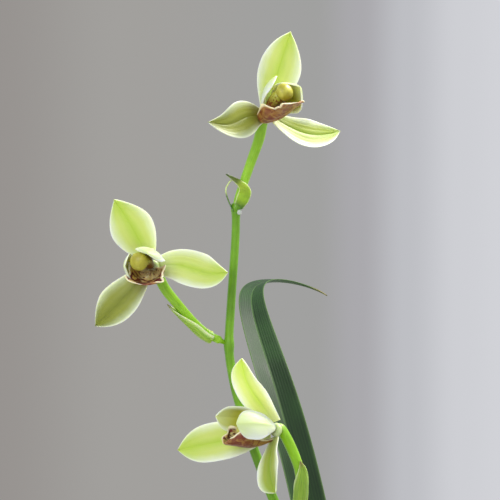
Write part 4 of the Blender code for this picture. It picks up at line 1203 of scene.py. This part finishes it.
for name, flower in FLOWERS.items():
    line = stalk_line(name)
    facing = facing_of(name)
    share = np.linspace(0, 1, len(line))
    radius = np.interp(share, (0.15, 0.65), (STALK_FOOT_RADIUS, STALK_END_RADIUS))
    rooted = np.concatenate([line[:1] + unit(line[0] - line[1]) * np.array([[STALK_ROOT]]), line])
    rooted_radius = np.concatenate([radius[:1] * 1.15, radius])
    rings = tube_rings(rooted, rooted_radius, 40, 6, 0.022, 2.0)
    skin(f"{name}_pedicel", rings, stalk_flesh, [f"{name}_stalk"])
    swell = np.linspace(0.02, 0.98, 15) * math.pi
    knob_line = middle_of(name) + facing * (KNOB_DEPTH * -np.cos(swell) + 0.2 * MM)[:, None]
    knob = tube_rings(knob_line, KNOB_RADIUS * np.sin(swell) ** 0.7, 36)
    skin(f"{name}_knob", knob, heel_flesh)
    if "bract" in flower:
        first, last, opening, flare = flower["bract"]
        axis = at_share(line, np.linspace(first, last, 56))
        hug = (STALK_FOOT_RADIUS + BRACT_HUG) * (1.12 + flare * np.linspace(0, 1, 56) ** 2)
        rings, places = rolled(axis, hug, 0.35, opening, BRACT_THICKNESS, BRACT_TURN, 40, seed=3)
        skin(f"{name}_pointed_bract", rings, bract_leaf, [f"{name}_bract"], places)

cup_line = smooth_line(stem_line[-1] + np.array(STEM_CUP["points"]) * MM, 12)
cup_radius = np.interp(np.linspace(0, 3, len(cup_line)), range(4), STEM_CUP["radii"]) * MM
skin("stem_end_cup", tube_rings(cup_line, cup_radius, 40, 5, 0.02), stem_flesh)
rings, places = scale_rings(TOP_BRACT, node_of("top_flower")[0], 0.5, HOOD_THICKNESS)
skin("top_flower_hooded_bract", rings, spiked, ["top_flower_bract"], places)
rings, places = scale_rings(TIP_SCALE, stem_line[-1], 0.3, STRIP_THICKNESS)
skin("stem_tip_strip", rings, tip_strip, ["stem_tip_scale"], places)

# ---------------------------------------------------------------- sepals
# The three outer parts of each flower, one at the top and two at the sides: broad, pointed and
# slightly cupped. They are thin and let light through, yellow-green with a deeper midrib and tip,
# and near white along their edges. Light and shade are painted into copies of their finish: those
# turned from the light are painted olive in shade, and a few are painted brighter or dimmer.

TEPAL_THICKNESS = 0.55 * MM
RING_RADIUS = 2.3 * MM
OUTER_LEVEL = 0.75 * MM  # of the sepals, in front of the stalk's end
INNER_LEVEL = 2.05 * MM  # of the petals, lip and column
SEPAL_GROOVE = 0.22 * MM
SEPAL_RIPPLE = 0.32 * MM
SEPAL_PLEAT = 0.018 * MM


def tepal_finish(name, body, midrib, margin, foot, roughness=0.42):
    """Soft translucent flesh with parallel veins, from tints of its body, midrib, margin and foot."""
    flesh = living(
        name,
        roughness,
        0.55,
        (1.0, 1.0, 0.45),
        1.1 * MM,
        Specular_IOR_Level=0.35,
        Sheen_Weight=0.08,
        Sheen_Roughness=0.4,
    )
    across, along, _ = blade_map(flesh)
    edge = flesh.maths("ABSOLUTE", across)
    cloud = flesh.noise(flesh.place, 210, 3)
    veins = streaks(flesh, across, flesh.maths("MULTIPLY", along, 0.8), 7.0, 2.4)
    sparkle = flesh.noise(flesh.place, 2600, 1)
    wander = flesh.maths("MULTIPLY_ADD", cloud, 0.24, -0.12)
    rim = flesh.maths("ADD", edge, wander)
    colour = flesh.laid(
        tint(body),
        (flesh.between(rim, 0.42, 1.0), margin),
        (flesh.between(rim, 0.0, 0.42, 0.75, 0.0), midrib),
        (flesh.between(edge, 0.0, 0.07, 0.55, 0.0), midrib),
        (flesh.between(along, 0.62, 1.0, 0.0, 0.75), midrib),
        (flesh.between(along, 0.0, 0.34, 0.8, 0.0), foot),
        (flesh.between(veins, 0.45, 0.85, 0.0, 0.10), midrib),
        (flesh.between(edge, 0.82, 1.0, 0.0, 0.6), "eef1e0"),
    )
    flesh.colour(colour)
    relief = flesh.maths("MULTIPLY_ADD", veins, 0.8, flesh.maths("MULTIPLY", sparkle, 0.25))
    flesh.raised(relief, 0.06 * MM)
    return flesh


# Painted light and shade: one sepal finish lit, in painted olive shade, painted bright and painted dim,
# given to each sepal by how the lamp falls on it.
sepal_lit = tepal_finish("sepal_lit", "c6d072", "afc63e", "d9dfc2", "ccd69c")
sepal_shaded = tepal_finish("sepal_shaded", "8e9338", "757c1c", "bcc49c", "78691c")
sepal_painted_bright = tepal_finish("sepal_painted_bright", "dfe98a", "c9df4a", "f2f6dc", "e2ebb4")
sepal_painted_dim = tepal_finish("sepal_painted_dim", "a1ad42", "8aa326", "e2e8cc", "b0ba6a")
SEPALS_WITH_PAINTED_LIGHT = {
    "top_flower_left": sepal_shaded,
    "left_flower_left": sepal_shaded,
    "top_flower_right": sepal_painted_dim,
    "lower_flower_right": sepal_painted_dim,
    "lower_flower_dorsal": sepal_painted_bright,
}


def swelling(u, widest, foot, sharpness):
    """A tepal's outline: foot at u = 0, 1 at u = widest and a point at u = 1."""
    rise = foot + (1 - foot) * np.sin(math.pi / 2 * np.clip(u / widest, 0, 1))
    fall = np.clip((u - widest) / (1 - widest), 0, 1)
    return np.where(u < widest, rise, np.maximum(0.03, 1 - fall**sharpness))


def turned_about(vector, axis, degrees):
    """vector turned about a unit axis."""
    angle = math.radians(degrees)
    along = axis * (axis @ vector)
    return along + (vector - along) * math.cos(angle) + np.cross(axis, vector) * math.sin(angle)


def tepal_rings(foot, tip, face, half, cup, shifts, thickness, relief, across=56, steps=110):
    """A tepal runs from foot to tip and faces face. half and cup are its half width and bend at
    shares u of its length; shifts gives how far it strays from the straight line towards its face
    and sideways, as shares of its length."""
    u = np.linspace(0, 1, steps)
    way = unit(tip - foot)
    face = square_to(face, way)
    inward, sideways = shifts(u)
    length = np.linalg.norm(tip - foot)
    stray = face * inward[:, None] + np.cross(way, face) * sideways[:, None]
    line = foot + (tip - foot) * u[:, None] + stray * length
    return blade_rings(line, face, half(u), cup(u), thickness, across, 0.0, relief)


def sepal_rings(name, sepal, seed):
    """A sepal stands out from the ring behind the petals, slightly cupped to the front."""
    tip, width, widest, sharpness, bow, curl, sweep, sway, twist, narrow = sepal
    facing = facing_of(name)
    tip = np.array(tip) * MM
    foot = square_to(tip, facing) * RING_RADIUS + facing * OUTER_LEVEL
    way = unit(tip - foot)

    def waves(u, v):
        groove = -SEPAL_GROOVE * np.exp(-((v / 0.07) ** 2)) * np.sin(math.pi * u) ** 0.5
        ripple = SEPAL_RIPPLE * v**2 * np.sin(9 * u + 1.6 * v + seed) * np.sin(math.pi * u)
        pleats = SEPAL_PLEAT * np.cos(v * 26) * np.sin(math.pi * u)
        return groove + ripple + pleats

    return tepal_rings(
        middle_of(name) + foot,
        middle_of(name) + tip,
        turned_about(square_to(facing, way), way, twist),
        lambda u: width * MM * swelling(u, widest, narrow / width, sharpness),
        lambda u: 0.25 + 0.35 * u**2,
        lambda u: (
            bow * np.sin(math.pi * u) + curl * (u**3 - u),
            sweep * np.sin(math.pi * u) + sway * np.sin(2 * math.pi * u),
        ),
        TEPAL_THICKNESS,
        waves,
    )


for name, flower in FLOWERS.items():
    for index, (place, sepal) in enumerate(flower["sepals"].items()):
        flesh = SEPALS_WITH_PAINTED_LIGHT.get(f"{name}_{place}", sepal_lit)
        rings, places = sepal_rings(name, sepal, index * 2.1 + len(name))
        skin(f"{name}_{place}_outer_tepal", rings, flesh, [f"{name}_{place}_sepal"], places)

# ---------------------------------------------------------------- petals
# Two inner parts, shorter and broader than the sepals, that close over the column like a hood.
# They are whiter than the sepals, with a green midrib and a thick pale rolled rim. Their inner faces
# are painted yellow-olive, darkest at the foot: painted shade by the column and painted glow of
# light coming through them.

PETAL_FOOT_HALF_WIDTH = 1.1 * MM
PETAL_THICKNESS = 0.62 * MM
PETAL_GROOVE = 0.15 * MM
PETAL_ROLL = 0.25 * MM  # how far the rim turns back
PETAL_RIPPLE = 0.25 * MM

petal_flesh = tepal_finish("petal_flesh", "d9e2bc", "c8d590", "e9eedd", "dfe6cc", 0.38)
petal_across, petal_along, petal_under = blade_map(petal_flesh)
# Inner face: painted shade, olive at the foot by the column, and a painted yellow glow of light through the
# petal, paler towards the tip; the rim stays pale.
petal_inner_painted_shade = petal_flesh.ramp(
    petal_along, (0.0, tint("8f8c1c")), (0.55, tint("b3b43c")), (1.0, tint("d3da94"))
)
petal_rim = petal_flesh.between(petal_flesh.maths("ABSOLUTE", petal_across), 0.6, 1.0, 0.0, 0.9)
petal_inner_painted_shade = petal_flesh.mix(petal_rim, petal_inner_painted_shade, tint("e6ecd6"))
petal_outer = petal_flesh.shader.inputs["Base Color"].links[0].from_socket
petal_flesh.colour(petal_flesh.mix(petal_under, petal_inner_painted_shade, petal_outer))


def petal_rings(name, petal, seed):
    """A petal leans forward beside the column, cupped towards it, and its tip arches over it."""
    tip, inward, width, sharpness, cup, curl = petal
    facing = facing_of(name)
    tip = np.array(tip) * MM
    foot = facing * INNER_LEVEL - square_to(inward, facing) * RING_RADIUS

    def waves(u, v):
        groove = -PETAL_GROOVE * np.exp(-((v / 0.09) ** 2)) * np.sin(math.pi * u)
        rolled_rim = -PETAL_ROLL * np.clip((np.abs(v) - 0.8) / 0.2, 0, 1) ** 2 * np.sin(math.pi * u)
        ripple = PETAL_RIPPLE * v**2 * np.sin(8 * u + 2 * v + seed) * np.sin(math.pi * u)
        return groove + rolled_rim + ripple

    return tepal_rings(
        middle_of(name) + foot,
        middle_of(name) + tip,
        inward,
        lambda u: width * MM * swelling(u, 0.6, PETAL_FOOT_HALF_WIDTH / (width * MM), sharpness),
        lambda u: cup + 0.3 * u,
        lambda u: (curl * (u**3 - u) - 0.10 * np.sin(math.pi * u), 0 * u),
        PETAL_THICKNESS,
        waves,
        48,
        90,
    )


for name, flower in FLOWERS.items():
    for index, (place, petal) in enumerate(flower["petals"].items()):
        rings, places = petal_rings(name, petal, index + len(name))
        skin(f"{name}_{place}_hood", rings, petal_flesh, [f"{name}_{place}_petal"], places)

# ---------------------------------------------------------------- lip
# The lip is the third inner part, fleshy and boat-shaped: side lobes stand up round the column and
# the middle lobe rolls under. It is cream to tan with maroon blotches and a pale rim, brown-orange
# outside, and carries two low keels along its middle.

LIP_HALF_WIDTH = 8.4 * MM
LIP_THICKNESS = 0.65 * MM
LIP_KEEL = 0.45 * MM
LIP_CRIMP = 0.40 * MM
LIP_ROLL = 0.35 * MM

lip_flesh = living("lip_flesh", 0.36, 0.35, (1.0, 0.6, 0.3), 0.9 * MM, Specular_IOR_Level=0.45)
lip_across, lip_along, lip_under = blade_map(lip_flesh)
lip_edge = lip_flesh.maths("ABSOLUTE", lip_across)
lip_blotches = lip_flesh.noise(lip_flesh.place, 420, 3, 1.2)
lip_specks = lip_flesh.noise(lip_flesh.place, 1100, 2, 0.6)
lip_cloud = lip_flesh.noise(lip_flesh.place, 240, 2)
lip_bias = lip_flesh.between(lip_along, 0.15, 0.55, 0.05, -0.10)
lip_inner = lip_flesh.laid(
    tint("d8c48a"),
    (lip_flesh.between(lip_cloud, 0.35, 0.65), "a98a3a"),
    (lip_flesh.between(lip_flesh.maths("ADD", lip_blotches, lip_bias), 0.38, 0.46, 1.0, 0.0), "581410"),
    (lip_flesh.between(lip_specks, 0.60, 0.66, 0.0, 0.8), "8c2b22"),
)
lip_outer = lip_flesh.mix(lip_flesh.between(lip_blotches, 0.38, 0.60), tint("7c3a22"), tint("a5783e"))
lip_colour = lip_flesh.mix(lip_under, lip_inner, lip_outer)
lip_rim = lip_flesh.between(lip_edge, 0.86, 0.95, 0.0, 0.95)
lip_flesh.colour(lip_flesh.laid(lip_colour, (lip_rim, "efe2bc")))
lip_flesh.raised(lip_flesh.maths("ADD", lip_blotches, lip_specks), 0.20 * MM)


def lip_half_width(u, lobe, foot_width):
    """The lip is narrow at its foot, broadest at the side lobes and waisted before its middle lobe."""
    narrow = foot_width * MM / LIP_HALF_WIDTH
    spread = np.sin(math.pi / 2 * np.clip(u / lobe, 0, 1))
    lobes = narrow + (1 - narrow) * spread ** (0.6 + 2 * (1 - narrow) ** 2)
    waist = 1 - 0.30 * np.sin(math.pi * np.clip((u - lobe) / (1.05 - lobe), 0, 1)) ** 2
    tip = np.clip((u - 0.78) / 0.22, 0, 1)
    return LIP_HALF_WIDTH * lobes * waist * np.maximum(0.06, np.sqrt(np.maximum(0, 1 - tip**2.4)))


def lip_relief(u, v):
    """Two keels along the middle, a crimped middle lobe and a rolled rim."""
    ridge = np.exp(-(((np.abs(v) - 0.16) / 0.05) ** 2)) * np.clip((0.66 - u) / 0.2, 0, 1)
    crimp = np.clip((u - 0.55) / 0.3, 0, 1) * np.abs(v) ** 3 * np.sin(u * 38 + v * 5)
    rim = -LIP_ROLL * np.clip((np.abs(v) - 0.85) / 0.15, 0, 1) ** 2 * np.sin(math.pi * u)
    return LIP_KEEL * ridge * np.clip(u / 0.15, 0, 1) + LIP_CRIMP * crimp + rim


for name, flower in FLOWERS.items():
    foot, tip, upper, lobe, narrow = (np.array(value) for value in flower["lip"])
    rings, places = tepal_rings(
        middle_of(name) + foot * MM,
        middle_of(name) + tip * MM,
        upper,
        lambda u, lobe=lobe, narrow=narrow: lip_half_width(u, lobe, narrow),
        lambda u, lobe=lobe: 0.25 + 1.35 * np.exp(-((np.maximum(0, u - lobe) / 0.32) ** 2)),
        lambda u: (-0.12 * np.sin(math.pi * u) - 0.3 * (np.maximum(0, u - 0.7) ** 1.6 - 0.146 * u), 0 * u),
        LIP_THICKNESS,
        lip_relief,
        72,
        120,
    )
    skin(f"{name}_blotched_lip", rings, lip_flesh, [f"{name}_lip"], places)

# ---------------------------------------------------------------- column and anther cap
# Stamens and style are grown together into one stout column, pale green and flecked with maroon on
# its underside. A waxy olive-yellow cap closes its tip over the pollen.

COLUMN_LENGTH = 8.0 * MM
COLUMN_FOOT_RADIUS = 1.45 * MM
COLUMN_TIP_RADIUS = 2.0 * MM
COLUMN_ARCH = 0.10  # its rise in the middle, as a share of its length
CAP_RADIUS = 2.7 * MM
CAP_DEPTH = 3.4 * MM
CAP_FLAT = 0.45  # how far the ball's back is cut off, as a share of its radius
CAP_GROOVE = 0.05  # depth of the groove down its face, as a share of its radius

column_flesh = living("column_flesh", 0.34, 0.35, (1.0, 1.0, 0.4), 1.0 * MM)
column_cloud = column_flesh.noise(column_flesh.place, 500, 3)
column_flecks = column_flesh.noise(column_flesh.place, 1300, 1, 0.5)
column_along = tube_map(column_flesh)[1]
column_colour = column_flesh.laid(
    tint("a8a83a"),
    (column_flesh.between(column_cloud, 0.35, 0.7), "c2bf58"),
    (column_flesh.between(column_along, 0.35, 0.85, 0.8, 0.0), "7a3a1c"),
    (column_flesh.between(column_flecks, 0.52, 0.60, 0.0, 0.85), "74221a"),
)
column_flesh.colour(column_colour)
column_flesh.raised(column_cloud, 0.10 * MM)

cap_wax = living(
    "cap_wax",
    0.40,
    0.35,
    (1.0, 0.9, 0.3),
    1.0 * MM,
    Specular_IOR_Level=0.45,
    Coat_Weight=0.08,
    Coat_Roughness=0.2,
)
cap_cloud = cap_wax.noise(cap_wax.place, 420, 3)
cap_grain = cap_wax.noise(cap_wax.place, 3200, 2)
cap_wax.colour(cap_wax.mix(cap_wax.between(cap_cloud, 0.35, 0.68), tint("a39a26"), tint("c3bd4c")))
cap_wax.raised(cap_wax.maths("MULTIPLY_ADD", cap_grain, 0.3, cap_cloud), 0.10 * MM)

for name, flower in FLOWERS.items():
    facing = facing_of(name)
    up = square_to(flower["lip"][2], facing)
    u = np.linspace(0, 1, 41)[:, None]
    line = middle_of(name) + facing * (INNER_LEVEL + COLUMN_LENGTH * u)
    line = line + up * (COLUMN_ARCH * COLUMN_LENGTH * np.sin(math.pi * u))
    radius = COLUMN_FOOT_RADIUS + (COLUMN_TIP_RADIUS - COLUMN_FOOT_RADIUS) * u[:, 0]
    rings = tube_rings(line, radius, 40, 3, 0.06)
    skin(f"{name}_stout_column", rings, column_flesh, [f"{name}_column"])
    ahead = unit(line[-1] - line[-6])
    back = CAP_DEPTH * CAP_FLAT / (1 + CAP_FLAT)
    swell = np.linspace(0.03, 0.97, 40) * math.pi
    height = np.maximum(-np.cos(swell), -CAP_FLAT) * CAP_DEPTH / (1 + CAP_FLAT)
    cap_line = line[-1] + ahead * (back + 0.35 * MM)
    cap_rise = unit(up - ahead * (ahead @ up))
    cap_side = np.cross(ahead, cap_rise)
    turn = np.linspace(0, 2 * math.pi, 56, endpoint=False)[None]
    groove = CAP_GROOVE * np.exp(-(((turn - math.pi) / 0.16) ** 2))
    reach = (CAP_RADIUS * np.sin(swell))[:, None] * (1 - groove)
    cap = cap_line + ahead * height[:, None, None]
    cap = cap + reach[..., None] * (cap_rise * np.cos(turn)[..., None] + cap_side * np.sin(turn)[..., None])
    skin(f"{name}_cap", cap, cap_wax, [f"{name}_anther_cap"])

# ---------------------------------------------------------------- nectar
# A bead of sugary nectar stands on the stem just under the top flower's stalk, where the sunlight
# glints in it. Its near-white colour is a painted glint; only about half of its light passes through.
# It seeps from the stem and holds to it by its own surface.

BEAD_RADIUS = 0.7 * MM
BEAD_PLACE = np.array((1.0, -1.2, -1.1)) * MM  # from the node
BEAD_TALLNESS = 1.15

# Near-white base colour: a painted glint.
nectar = Finish(
    "nectar", {"Roughness": 0.05, "Transmission Weight": 0.55, "IOR": 1.40, "Base Color": (1, 1, 0.97, 1)}
)
nectar.raised(nectar.noise(nectar.place, 900, 2), 0.05 * MM)
bead_swell = np.linspace(0.04, 0.96, 20) * math.pi
bead_rise = -np.cos(bead_swell) * BEAD_RADIUS * BEAD_TALLNESS
bead_line = node_of("top_flower")[0] + BEAD_PLACE + np.array([[0, 0, 1]]) * bead_rise[:, None]
skin("nectar_bead_1", tube_rings(bead_line, np.sin(bead_swell) * BEAD_RADIUS, 28), nectar)
